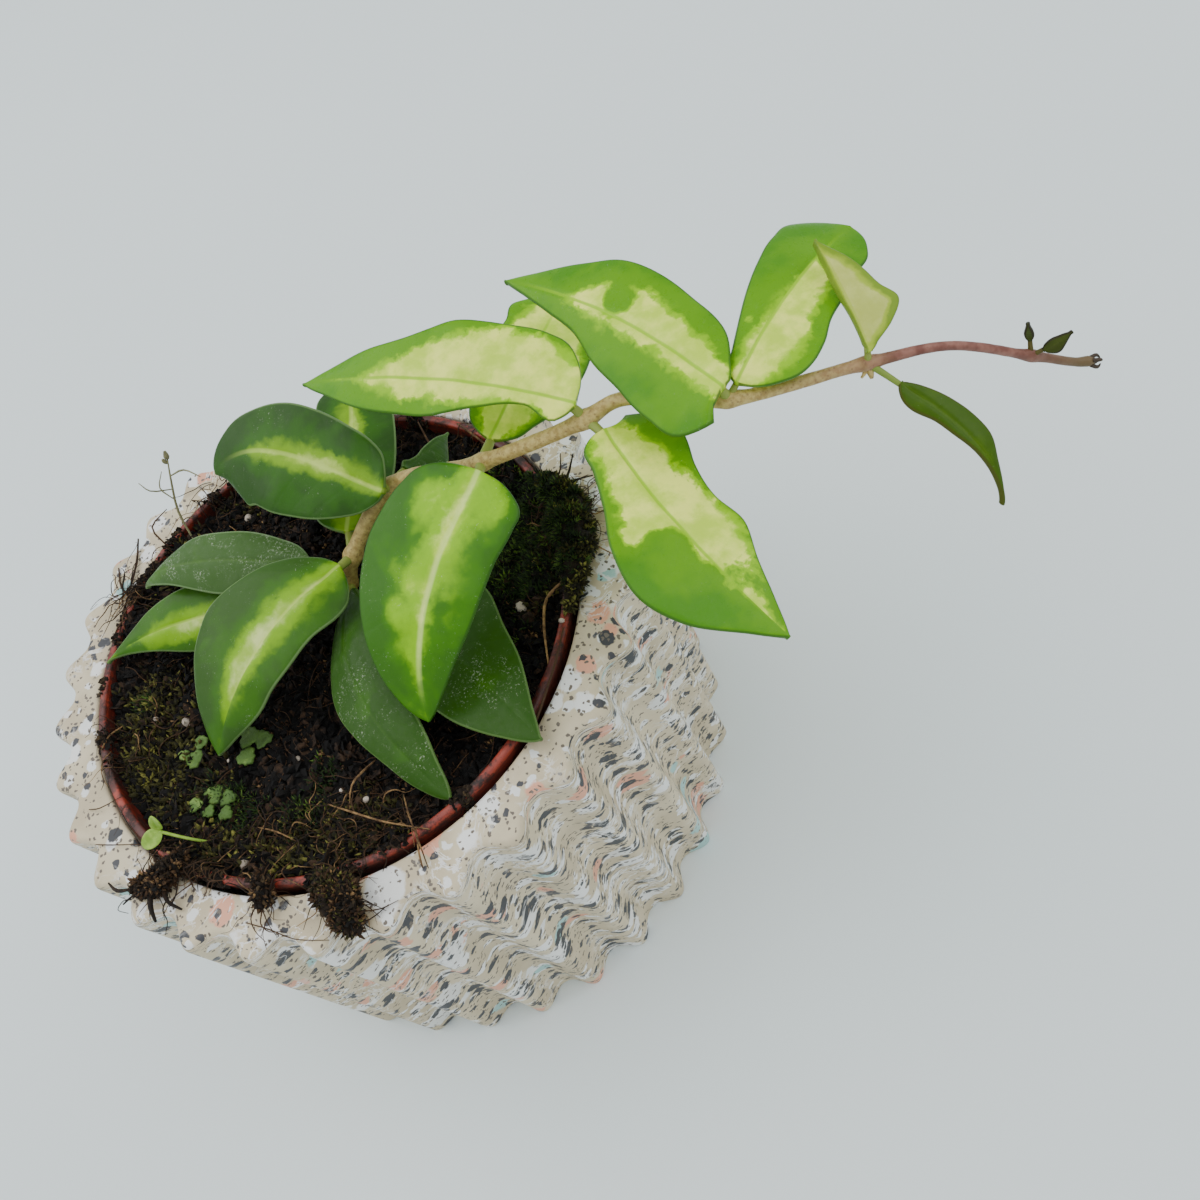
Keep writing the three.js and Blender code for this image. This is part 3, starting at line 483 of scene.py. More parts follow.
drill_mesh = bpy.data.meshes.new("drills")
drills.to_mesh(drill_mesh)
drills.free()
drill = linked("drills", drill_mesh)
cut = pot.modifiers.new("drain holes", "BOOLEAN")
cut.object = drill
cut.solver = "EXACT"
baked(pot)
bpy.data.objects.remove(drill)
pot.data.polygons.foreach_set("use_smooth", [True] * len(pot.data.polygons))
finish(pot, "pot_plastic", "nursery_pot")

# %% [markdown]
# ## The stem
# The vine is a tube drawn along a smooth curve through measured points. It swells at each node,
# where leaves and roots leave it. A number that runs from 0 at the root to 1 at the tip goes with
# every point, so the bark can turn from corky tan to fresh mauve, as young hoya stems do.

# %% Measures of the plant, as in the CAD model
STATIONS = (0.05, 0.15, 0.3, 0.45, 0.6, 0.75, 0.9)
BLADE_MIDDLE, BLADE_MARGIN = 0.75, 0.4
NODE_SWELL, NODE_REACH = 0.35, 2.2
VINE = [  # a point in mm, the stem's radius there, and the name of the node if leaves grow there
    ((2.5, 9.5, 70), 2, ""),
    ((6.2, 7, 86.4), 1.95, "soil"),
    ((9.8, 5.2, 91.2), 1.85, "low"),
    ((15.3, 4.5, 98.5), 1.7, "crown"),
    ((31.5, 4.4, 110), 1.6, "inner"),
    ((51.3, -12.7, 118.6), 1.5, "rim"),
    ((72.4, -24.8, 125.5), 1.5, "over"),
    ((78.7, -26.6, 127.2), 1.4, ""),
    ((86.2, -33.4, 128.2), 1.35, ""),
    ((94.7, -41.5, 127.6), 1.3, "outer"),
    ((119.8, -46.7, 121), 1.1, "young"),
    ((133.2, -51.1, 118.3), 0.85, ""),
    ((148.1, -55.6, 107.2), 0.9, "sprout"),
    ((156, -58.1, 101), 0.85, ""),
    ((158.3, -59, 100), 1.05, ""),
    ((159.8, -59.5, 99.3), 0.5, ""),
]
# Half widths left and right of the midrib are in mm, at the seven stations along the blade. The
# midrib arches up and sways sideways by so much, most at so far along it. Each side is lifted, and
# ripples with a height, a number of waves and a start for either side. A lobe reaches back.
LEAVES = {
    "leaf_soil_left": dict(
        node="soil", petiole=1.2, base=(0.8, 8.3, 89.2), tip=(-50.9, 25.4, 91.4), faces=(-0.2, -0.4, 0.9),
        left=(3.2, 5.5, 7.5, 8.2, 7.1, 4.5, 1.8), right=(3.4, 6, 8, 8.4, 8, 5.6, 1.7),
        arch=(2.6, 0.5), sway=(3.5, 0.62), lift=(-0.8, -1.4), ripple=(0.4, 1.5, 0, 0.4)),
    "leaf_soil_front": dict(
        node="soil", petiole=1.2, base=(12.5, -0.5, 89.2), tip=(31.5, -58.3, 91.8), faces=(0, 0, 1),
        left=(10.8, 14.7, 16, 15.5, 11.8, 8.5, 3.3), right=(9.2, 12.4, 13.5, 12.8, 11.2, 9.6, 5.3),
        arch=(4, 0.5), sway=(-1.5, 0.5), lift=(-1, -1), ripple=(0.5, 1.2, 0.2, 0.6)),
    "leaf_low_back": dict(
        node="low", petiole=1.2, base=(5.5, 10.5, 98), tip=(-33.4, 34.4, 96.4), faces=(-0.1, -0.3, 0.95),
        left=(4, 6, 7.5, 7.6, 6.3, 4.3, 2.3), right=(3.5, 5.5, 7.1, 7.1, 6.5, 3.8, 0.6),
        arch=(6, 0.6), sway=(2.3, 0.65), lift=(-1, -1.5), ripple=(0.4, 1.3, 0, 0.5)),
    "leaf_low_front": dict(
        node="low", petiole=1.2, base=(10.8, 0.2, 92.6), tip=(9.6, -56.4, 88.9), faces=(-0.3, -0.1, 0.95),
        left=(3.4, 5.4, 7.7, 8.3, 8, 6.9, 3.6), right=(1.6, 4.1, 5.9, 7.6, 6.5, 4.8, 3.3),
        arch=(7, 0.45), sway=(5, 0.45), lift=(-1, -1), ripple=(0.5, 1.2, 0.1, 0.5)),
    "leaf_crown_left": dict(
        node="crown", petiole=1.1, base=(12, 1.4, 100.7), tip=(-32.9, -14.7, 88.6), faces=(-0.2, -0.3, 0.93),
        left=(6.8, 9.3, 8.6, 8.5, 7.8, 6.9, 3.3), right=(6.5, 11.8, 15.7, 17.4, 16.1, 12.5, 6.8),
        arch=(7, 0.5), sway=(1.8, 0.48), lift=(-0.8, -1.5), ripple=(0.4, 1, 0, 0.5)),
    "leaf_crown_back": dict(
        node="crown", petiole=1.1, base=(16.8, 9.3, 100.5), tip=(34.2, 54.3, 99.5), faces=(0, -0.6, 0.8),
        left=(6.1, 8.2, 9.5, 10, 9.9, 9.2, 7.4), right=(6.7, 8.7, 10, 10.5, 10.4, 9.7, 7.9),
        arch=(2, 0.5), sway=(1, 0.5), lift=(-0.5, -0.5), ripple=(0.3, 1, 0, 0.5)),
    "leaf_inner_back": dict(
        node="inner", petiole=1.1, base=(30.5, 1.1, 113.1), tip=(-0.7, 32.3, 115.2),
        faces=(-0.1, -0.55, 0.83),
        left=(4.8, 8.5, 11.7, 13, 13.2, 11.9, 10.3), right=(6, 8.9, 10.1, 10.9, 11, 9.4, 6.2),
        arch=(2.5, 0.6), sway=(6, 0.65), lift=(-0.8, -0.8), ripple=(0.3, 1, 0, 0.5)),
    "leaf_inner_right": dict(
        node="inner", petiole=1, base=(35.8, 7.6, 108.8), tip=(47.4, 18.6, 100), faces=(-0.1, -0.6, 0.8),
        left=(1.5, 0.9, 0.6, 1, 1.1, 1, 0.5), right=(2.8, 4, 5, 5.5, 5, 3.3, 1.2),
        arch=(0.5, 0.5), sway=(0, 0.5), lift=(0.5, -0.5), ripple=(0.3, 1.5, 0, 0.5)),
    "leaf_rim_front": dict(
        node="rim", petiole=1.1, base=(50.2, -16.8, 120.8), tip=(14.5, -43.4, 97), faces=(-0.2, -0.3, 0.93),
        left=(10, 11.9, 11.3, 10.9, 9.8, 7.5, 4.2), right=(11.1, 15.2, 17.1, 16.8, 15.1, 12.1, 7.1),
        arch=(5, 0.55), sway=(3.2, 0.55), lift=(-0.8, -0.8), ripple=(0.5, 1, 0, 0.5)),
    "leaf_rim_back": dict(
        node="rim", petiole=1.1, base=(55.2, -10.1, 119.8), tip=(84.5, 16.8, 116), faces=(-0.1, -0.5, 0.85),
        left=(4.8, 7.2, 9.6, 10.2, 9.8, 9.1, 9.1), right=(4.4, 7, 10.4, 11.6, 11.9, 10.8, 7.5),
        arch=(1.5, 0.5), sway=(0, 0.5), lift=(-0.5, -0.5), ripple=(0.3, 1, 0, 0.5)),
    "leaf_over_left": dict(
        node="over", petiole=1, base=(72.1, -24.3, 129.8), tip=(29.4, 18.8, 133), faces=(0.1, -0.5, 0.86),
        left=(4.5, 2.7, 4.7, 7.2, 7.1, 6, 2.8), right=(9.4, 12.6, 13.1, 12.6, 8.6, 6.4, 2.8),
        arch=(3.5, 0.5), sway=(1.7, 0.45), lift=(0.5, -1), ripple=(0.95, 1.2, 0, 0.5)),
    "leaf_over_front": dict(
        node="over", petiole=1, base=(73.9, -29.4, 124.7), tip=(79.4, -79.9, 112), faces=(0.3, -0.3, 0.9),
        left=(10, 12.5, 10.7, 10, 10.4, 6.7, 3.3), right=(5.2, 6.2, 8.9, 13, 14.7, 11.3, 4.5),
        arch=(3, 0.5), sway=(3.1, 0.5), lift=(0, 0), ripple=(1.15, 1.5, 0.1, 0.5), lobe=(3, 0.5)),
    "leaf_outer_left": dict(
        node="outer", petiole=1, base=(94.2, -42.5, 132), tip=(75, 9.4, 134.5), faces=(0.1, -0.5, 0.86),
        left=(10.6, 12.5, 11, 9.2, 5.6, 3.8, 1.8), right=(4.4, 9.3, 11.1, 12.2, 11.4, 7.6, 3.4),
        arch=(2.5, 0.5), sway=(2, 0.5), lift=(-2, -1), ripple=(0.8, 1.2, 0, 0.5), lobe=(4, 0.5)),
    "leaf_outer_right": dict(
        node="outer", petiole=0.7, base=(96.9, -42.1, 130.6), tip=(135.1, -19.6, 124.2),
        faces=(0.1, -0.25, 0.96),
        left=(2.8, 3.7, 5.5, 7.4, 9, 10.2, 9.2), right=(6.5, 10.5, 11, 9.6, 9, 7.9, 6.8),
        arch=(1.5, 0.5), sway=(-1.6, 0.5), lift=(-1.5, 0.8), ripple=(0.7, 1.2, 0.5, 0)),
    "leaf_young_back": dict(
        node="young", petiole=0.7, base=(120.2, -47.4, 124.2), tip=(124.5, -26, 133), faces=(0, -0.55, 0.83),
        left=(0.4, 0.4, 0.5, 0.7, 0.7, 0.6, 0.5), right=(2.1, 5.8, 8.7, 6.6, 5.3, 3.8, 1.6),
        arch=(1.3, 0.5), sway=(0, 0.5), lift=(-1.5, 0.3), ripple=(0.3, 1, 0, 0.5)),
    "leaf_young_front": dict(
        node="young", petiole=0.65, base=(122.7, -52, 117.6), tip=(127.6, -73.2, 98), faces=(0.1, -0.4, 0.9),
        left=(1.3, 2.35, 3.3, 3.9, 3.5, 1.6, 0.5), right=(2, 2.8, 2, 1.7, 1.1, 0.7, 0.45),
        arch=(3, 0.6), sway=(-2, 0.6), lift=(0, 0), ripple=(0.2, 1.5, 0, 0.5)),
    "leaf_sprout_back": dict(
        node="sprout", petiole=0.5, base=(148.6, -54.6, 110.5), tip=(148.5, -54.1, 114.4),
        faces=(-0.6, -0.7, 0.3),
        left=(0.6, 0.8, 0.9, 0.9, 0.8, 0.6, 0.4), right=(0.6, 0.8, 0.9, 0.9, 0.8, 0.6, 0.4),
        arch=(0.3, 0.5), sway=(0, 0.5), lift=(0, 0), ripple=(0, 1, 0, 0.5)),
    "leaf_sprout_front": dict(
        node="sprout", petiole=0.5, base=(149.8, -56.9, 108.6), tip=(154.5, -58.6, 111),
        faces=(-0.3, -0.6, 0.7),
        left=(0.6, 0.9, 1.1, 1.1, 0.9, 0.7, 0.4), right=(0.8, 1.4, 1.9, 1.9, 1.5, 1, 0.5),
        arch=(0.5, 0.5), sway=(0, 0.5), lift=(0, 0), ripple=(0, 1, 0, 0.5)),
}


def unit(v):
    """The vector at length 1."""
    return v / np.linalg.norm(v)


def hermite(w, p1, m1, p2, m2):
    """From p1 to p2 at w from 0 to 1, with slopes m1 and m2 at the ends."""
    return ((2 * w**3 - 3 * w**2 + 1) * p1 + (w**3 - 2 * w**2 + w) * m1
            + (3 * w**2 - 2 * w**3) * p2 + (w**3 - w**2) * m2)


def curve_point(points, u):
    """A centripetal Catmull-Rom curve through points, at u from 0 to 1."""
    pts = [np.array(p, float) for p in points]
    at = u * (len(pts) - 1)
    k = min(len(pts) - 2, int(at))
    w = at - k
    p1, p2 = pts[k], pts[k + 1]
    p0 = pts[k - 1] if k else 2 * p1 - p2
    p3 = pts[k + 2] if k + 2 < len(pts) else 2 * p2 - p1
    d0, d1, d2 = (max(np.linalg.norm(b - a) ** 0.5, 1e-4) for a, b in ((p0, p1), (p1, p2), (p2, p3)))
    m1 = ((p1 - p0) / d0 - (p2 - p0) / (d0 + d1) + (p2 - p1) / d1) * d1
    m2 = ((p2 - p1) / d1 - (p3 - p1) / (d1 + d2) + (p3 - p2) / d2) * d1
    return hermite(w, p1, m1, p2, m2)


def grid_faces(rows, around, start=0):
    """Faces between rings of points: rows of them, with so many points round each ring."""
    return [(a, b, b + around, a + around) for k in range(start, start + rows * around, around)
            for a, b in ((k + i, k + (i + 1) % around) for i in range(around))]


def tube(points, radii, steps=12, sides=8, wobble=0.0, seed=0):
    """Points in mm and faces of a closed tube along a curve, and how far along each point is."""
    chance = random.Random(seed)
    spots, along = [], []
    across = None
    for k in range(steps + 1):
        u = k / steps
        here = curve_point(points, u)
        ahead = unit(curve_point(points, min(1, u + 0.01)) - curve_point(points, max(0, u - 0.01)))
        if across is None:
            across = np.cross(ahead, (0, 0, 1) if abs(ahead[2]) < 0.9 else (1, 0, 0))
        across = unit(across - ahead * (across @ ahead))
        other = np.cross(ahead, across)
        at = u * (len(radii) - 1)
        low = min(len(radii) - 2, int(at))
        radius = radii[low] + (radii[low + 1] - radii[low]) * (at - low)
        for i in range(sides):
            a = 2 * math.pi * i / sides
            r = radius * (1 + wobble * chance.uniform(-1, 1))
            spots.append(here + r * (math.cos(a) * across + math.sin(a) * other))
            along.append(u)
    ends = [tuple(range(sides))[::-1], tuple(range(steps * sides, (steps + 1) * sides))]
    return spots, grid_faces(steps, sides) + ends, along


def gathered(parts):
    """Points, faces and numbers of several closed shapes, put end to end."""
    spots, faces, numbers = [], [], []
    for more_spots, more_faces, more_numbers in parts:
        start = len(spots)
        spots += list(more_spots)
        faces += [tuple(start + i for i in face) for face in more_faces]
        numbers += list(more_numbers)
    return spots, faces, numbers


print("leaves in the table:", len(LEAVES))

# %% Bark


def hoya_bark():
    """Young bark: waxy and smooth, tan with brown corky specks, mauve and then olive to the tip."""
    material, tree, shader, where = new_material("young_waxy_bark", ior=1.42, roughness=0.5)
    along = add(tree, "Attribute", out="Fac", attribute_name="stem_u")
    long_grain = add(tree, "TexNoise", clouds(where, 1.1, 4.0, 0.6))
    amount = add(tree, "MapRange", [long_grain.outputs["Fac"], 0.3, 0.7], 0, **SMOOTH)
    tan = add(tree, "Mix", {0: amount, 6: "#a4884a", 7: "#cdb670"}, 2, **COLOURS)
    amount = add(tree, "TexNoise", clouds(where, 2.5, 2.0), "Fac")
    amount = add(tree, "MapRange", [amount, 0.35, 0.65], 0, **SMOOTH)
    mauve = add(tree, "Mix", {0: amount, 6: "#76463a", 7: "#956556"}, 2, **COLOURS)
    amount = add(tree, "MapRange", [along, 0.61, 0.7], 0, **SMOOTH)
    colour = add(tree, "Mix", {0: amount, 6: tan, 7: mauve}, 2, **COLOURS)
    amount = add(tree, "MapRange", [along, 0.77, 0.88], 0, **SMOOTH)
    colour = add(tree, "Mix", {0: amount, 6: colour, 7: "#6a5636"}, 2, **COLOURS)
    amount = add(tree, "MapRange", [along, 0.965, 0.985], 0, **SMOOTH)
    colour = add(tree, "Mix", {0: amount, 6: colour, 7: "#3f3020"}, 2, **COLOURS)
    specks = add(tree, "TexVoronoi", {"Vector": where, "Scale": 1 / (0.9 * MM)})
    speck = add(tree, "MapRange", [specks.outputs["Distance"], 0.3, 0.16, 0, 0.45], 0, **SMOOTH)
    share = add(tree, "MapRange", [along, 0.9, 0.7], 0, **SMOOTH)
    speck = add(tree, "Math", [speck, share], 0, operation="MULTIPLY")
    colour = add(tree, "Mix", {0: speck, 6: colour, 7: "#6d4a36"}, 2, **COLOURS)
    tree.links.new(colour, shader.inputs["Base Color"])
    shader.inputs["Subsurface Weight"].default_value = 0.06
    shader.inputs["Subsurface Radius"].default_value = (0.002, 0.001, 0.0006)
    relief = add(tree, "Bump", {"Height": long_grain.outputs["Fac"], "Distance": 0.18 * MM,
                                "Strength": 0.7}, 0)
    tree.links.new(relief, shader.inputs["Normal"])
    return material


bark = hoya_bark()

# %% The vine
vine_points = [at for at, _, _ in VINE]
vine_radii = [radius for _, radius, _ in VINE]
node_spots = {name: np.array(at, float) for at, _, name in VINE if name}
VINE_STEPS, VINE_SIDES = 420, 20
BARK_LUMPS = 0.05
spots, faces, along = tube(vine_points, vine_radii, VINE_STEPS, VINE_SIDES)
for k in range(VINE_STEPS + 1):
    ring = range(k * VINE_SIDES, (k + 1) * VINE_SIDES)
    centre = sum(spots[i] for i in ring) / VINE_SIDES
    nearest = min(np.linalg.norm(centre - spot) for spot in node_spots.values())
    swell = 1 + NODE_SWELL * math.exp(-(nearest / NODE_REACH) ** 2)
    for i in ring:
        rough = 1 + BARK_LUMPS * noise.noise(Vector(spots[i]) * 0.6)
        spots[i] = centre + (spots[i] - centre) * swell * rough
stem_parts = [(spots, faces, along)]

# Stubs of air root below the node of the young pair: how far they reach, and how thick they are.
AIR_ROOTS = (((-0.5, -1.7, -2.4), 0.75), ((1.5, -1.2, -2.3), 0.6), ((-2.2, -1.0, -1.5), 0.5))
young = node_spots["young"]
for reach, thick in AIR_ROOTS:
    path = [young, young + np.array(reach) / 2 + (0, -0.2, -0.2), young + np.array(reach)]
    spots, faces, _ = tube(path, [thick, thick * 0.9, thick * 0.45], 8, 8, 0.08, 3)
    stem_parts.append((spots, faces, [0.45] * len(spots)))

# The four claws of the bud at the tip, set round the way the stem points.
tip = np.array(vine_points[-1], float)
ahead = unit(tip - np.array(vine_points[-2], float))
across = unit(np.cross(ahead, (0, 0, 1)))
for k in range(4):
    a = 0.6 + k * math.pi / 2
    side = 0.75 * (math.cos(a) * across + math.sin(a) * np.cross(ahead, across))
    claw = [tip - ahead * 1.2 + side * 0.9, tip + ahead * 0.2 + side * 1.5, tip + ahead * 0.9 + side * 0.7]
    spots, faces, _ = tube(claw, [0.42, 0.36, 0.12], 8, 8)
    stem_parts.append((spots, faces, [0.99] * len(spots)))
spots, faces, along = gathered(stem_parts)
vine = mesh_object("vine", spots, faces, bark)
carry(vine, "stem_u", along)
outward(vine)
finish(vine, "stem", "vine_stem")

# %% [markdown]
# ## The leaves
# A hoya leaf is thick and waxy. Its green lies round a pale centre, with a yellow-green seam
# between. Each leaf is a fine grid bent over a measured midrib, with widths taken at seven
# stations on either side. Every point also carries how many millimetres it lies inside the pale
# centre. The shader adds noise to that number before it picks a colour, and so the edge is ragged
# like paint that ran, while each leaf keeps its own pattern.

# %% Finish of the leaves


def leaf_skin(name, greens, lime, creams, dust=0.0, seam=1.0, gloss=0.33, petiole="#8f9c4a", ragged=1.0,
              edge="#35521d", rib=0.6, specks=0.5, rib_colour=None, rib_width=0.5, rib_end=0.97):
    """Waxy leaf: coated, a little translucent, with green, seam and cream by the number cream."""
    material, tree, shader, where = new_material(name, ior=1.45, roughness=gloss)
    inside = add(tree, "Attribute", out="Fac", attribute_name="cream")
    from_rib = add(tree, "Attribute", out="Fac", attribute_name="leaf_x")
    from_rib = add(tree, "Math", [from_rib], 0, operation="ABSOLUTE")
    from_edge = add(tree, "Attribute", out="Fac", attribute_name="leaf_edge")
    along = add(tree, "Attribute", out="Fac", attribute_name="leaf_t")
    coarse = add(tree, "TexNoise", clouds(where, 4.5, 2.0, 0.55, 0.6), "Fac")
    fine = add(tree, "TexNoise", clouds(where, 1.3, 3.0, 0.6, 0.4), "Fac")
    shift = add(tree, "Math", [coarse, 5.0 * ragged, -2.5 * ragged], 0, operation="MULTIPLY_ADD")
    part = add(tree, "Math", [fine, 2.4 * ragged, -1.2 * ragged], 0, operation="MULTIPLY_ADD")
    shift = add(tree, "Math", [shift, part], 0, operation="ADD")
    # In some places the paint edge is sharp and in others it is washed out.
    wash = add(tree, "TexNoise", clouds(where, 9, 2.0), "Fac")
    share = add(tree, "MapRange", [wash, 0.35, 0.65, 0.45, 1.3], 0, **SMOOTH)
    value = add(tree, "Math", [inside, shift], 0, operation="ADD")
    value = add(tree, "Math", [value, share], 0, operation="MULTIPLY")
    mottle = add(tree, "TexNoise", clouds(where, 6, 4.0, 0.6), "Fac")
    # The green is duller and bluer towards the margin, and fresher beside the pale centre.
    part = add(tree, "Math", [value, -2.5], 0, operation="ADD")
    fresh = add(tree, "Math", [mottle, 5.0, part], 0, operation="MULTIPLY_ADD")
    amount = add(tree, "MapRange", [fresh, -7.5, -1.5], 0, **SMOOTH)
    green = add(tree, "Mix", {0: amount, 6: greens[0], 7: greens[1]}, 2, **COLOURS)
    amount = add(tree, "MapRange", [mottle, 0.36, 0.68], 0, **SMOOTH)
    pale = add(tree, "Mix", {0: amount, 6: creams[0], 7: creams[1]}, 2, **COLOURS)
    amount = add(tree, "MapRange", [value, -1.3 * seam, 0.1], 0, **SMOOTH)
    colour = add(tree, "Mix", {0: amount, 6: green, 7: lime}, 2, **COLOURS)
    amount = add(tree, "MapRange", [value, 0.1, 1.3 * seam], 0, **SMOOTH)
    colour = add(tree, "Mix", {0: amount, 6: colour, 7: pale}, 2, **COLOURS)
    # Veins: the midrib is a pale or a green line, and faint side veins run off it.
    rib_line = add(tree, "MapRange", [from_rib, rib_width, rib_width * 0.3, 0, rib], 0, **SMOOTH)
    share = add(tree, "MapRange", [along, rib_end, rib_end - 0.3], 0, **SMOOTH)
    amount = add(tree, "Math", [rib_line, share], 0, operation="MULTIPLY")
    colour = add(tree, "Mix", {0: amount, 6: colour, 7: rib_colour or lime}, 2, **COLOURS)
    amount = add(tree, "MapRange", [from_edge, 0.55, 0.2, 0, 0.85], 0, **SMOOTH)
    colour = add(tree, "Mix", {0: amount, 6: colour, 7: edge}, 2, **COLOURS)
    # Wax bloom and dust lie in fine specks and smears.
    grit = add(tree, "TexNoise", clouds(where, 0.5, 3.0, 0.8), "Fac")
    drifts = add(tree, "TexNoise", clouds(where, 7, 3.0, 0.7), "Fac")
    grit_mask = add(tree, "MapRange", [grit, 0.64 - 0.12 * dust, 0.7 - 0.06 * dust], 0, **SMOOTH)
    share = add(tree, "MapRange", [drifts, 0.5 - 0.03 * dust, 0.66], 0, **SMOOTH)
    grit_mask = add(tree, "Math", [grit_mask, share], 0, operation="MULTIPLY")
    smear = add(tree, "TexNoise", clouds(where, 2.4, 6.0, 0.9), "Fac")
    smear = add(tree, "MapRange", [smear, 0.56, 0.78, 0, 0.45 * dust], 0, **SMOOTH)
    part = add(tree, "Math", [grit_mask, specks], 0, operation="MULTIPLY")
    amount = add(tree, "Math", [smear, part], 0, operation="MAXIMUM")
    colour = add(tree, "Mix", {0: amount, 6: colour, 7: "#c5ccb4"}, 2, **COLOURS)
    stalk = add(tree, "MapRange", [along, 0.0, -0.5], 0, **SMOOTH)
    colour = add(tree, "Mix", {0: stalk, 6: colour, 7: petiole}, 2, **COLOURS)
    tree.links.new(colour, shader.inputs["Base Color"])
    dull = add(tree, "MapRange", [fine, 0.3, 0.75, gloss - 0.05, gloss + 0.12 + 0.2 * dust], 0, **SMOOTH)
    tree.links.new(dull, shader.inputs["Roughness"])
    shader.inputs["Subsurface Weight"].default_value = 0.12
    shader.inputs["Subsurface Radius"].default_value = (0.0016, 0.0020, 0.0006)
    shader.inputs["Coat Weight"].default_value = 0.04
    shader.inputs["Coat Roughness"].default_value = 0.25
    shader.inputs["Specular IOR Level"].default_value = 0.18
    # Side veins leave the midrib at a slant, so their height depends on both leaf numbers.
    part = add(tree, "Math", [from_rib, -0.75], 0, operation="MULTIPLY")
    slant = add(tree, "Math", [along, 52.0, part], 0, operation="MULTIPLY_ADD")
    vein = add(tree, "Math", [slant], 0, operation="SINE")
    vein = add(tree, "Math", [vein, 0.5, 0.5], 0, operation="MULTIPLY_ADD", use_clamp=True)
    vein = add(tree, "Math", [vein, 9.0], 0, operation="POWER")
    pores = add(tree, "TexNoise", clouds(where, 0.8, 3.0), "Fac")
    part = add(tree, "Math", [vein, -0.35], 0, operation="MULTIPLY")
    rough = add(tree, "Math", [pores, 0.55, part], 0, operation="MULTIPLY_ADD")
    relief = add(tree, "Bump", {"Height": rough, "Distance": 0.1 * MM, "Strength": 0.6}, 0)
    tree.links.new(relief, shader.inputs["Normal"])
    return material


OLD = leaf_skin(
    "old_waxy_leaf", ("#345818", "#3b6a10"), "#7cac06", ("#9cbe40", "#d0de88"), dust=0.15, seam=1.8,
    ragged=0.75, edge="#6c8a52", rib=0.5, rib_colour="#c4d868", rib_end=0.8)
OLD_PALE = leaf_skin(
    "old_leaf_with_bloom", ("#2a4e14", "#336210"), "#7aa614", ("#a0c03a", "#c4d86c"), dust=0.12, seam=1.6,
    ragged=0.75, edge="#6c8a52", rib=0.45, rib_colour="#cbe070", rib_width=0.7)
OLD_PLAIN = leaf_skin(
    "old_dusty_leaf", ("#2d520e", "#3a6808"), "#4a760c", ("#7f9a48", "#93a860"), dust=0.6,
    edge="#5c7a40", rib=0.1, specks=0.6)
OLD_GREY = leaf_skin(
    "old_grey_leaf", ("#42622c", "#4b7226"), "#66883a", ("#7f9a48", "#93a860"), dust=1.0,
    edge="#7c9a64", rib=0.15, specks=0.6)
MIDDLE = leaf_skin(
    "grown_leaf", ("#386a12", "#427c00"), "#88be00", ("#b4d82c", "#e8f484"), dust=0.12, seam=2.7,
    edge="#2d5612", rib=0.55, rib_colour="#deee8c", rib_width=0.9)
YOUNG = leaf_skin(
    "young_leaf", ("#4a880c", "#609a04"), "#90c400", ("#c2e044", "#f2fc74"), dust=0.15, seam=0.8,
    gloss=0.3, edge="#3d681c", rib=0.8, specks=0.25)
NEWEST = leaf_skin(
    "newest_pale_leaf", ("#648414", "#789622"), "#a2b834", ("#b6bf58", "#c9ce70"), seam=0.6,
    ragged=0.4, edge="#6f8a2e", specks=0.3)
OLIVE = leaf_skin(
    "soft_olive_leaf", ("#3c5a04", "#4c6c06"), "#6c881c", ("#8fa043", "#9aa950"), gloss=0.36,
    petiole="#7f9440", edge="#4c4e14", rib=0.12, specks=0.2)
SPROUT = leaf_skin(
    "unopened_leaf", ("#3a4410", "#46521a"), "#5c6826", ("#8fa043", "#9aa950"), gloss=0.4,
    petiole="#5c5428", edge="#2a2014", rib=0.1, specks=0.1)
print("leaf finishes ready")

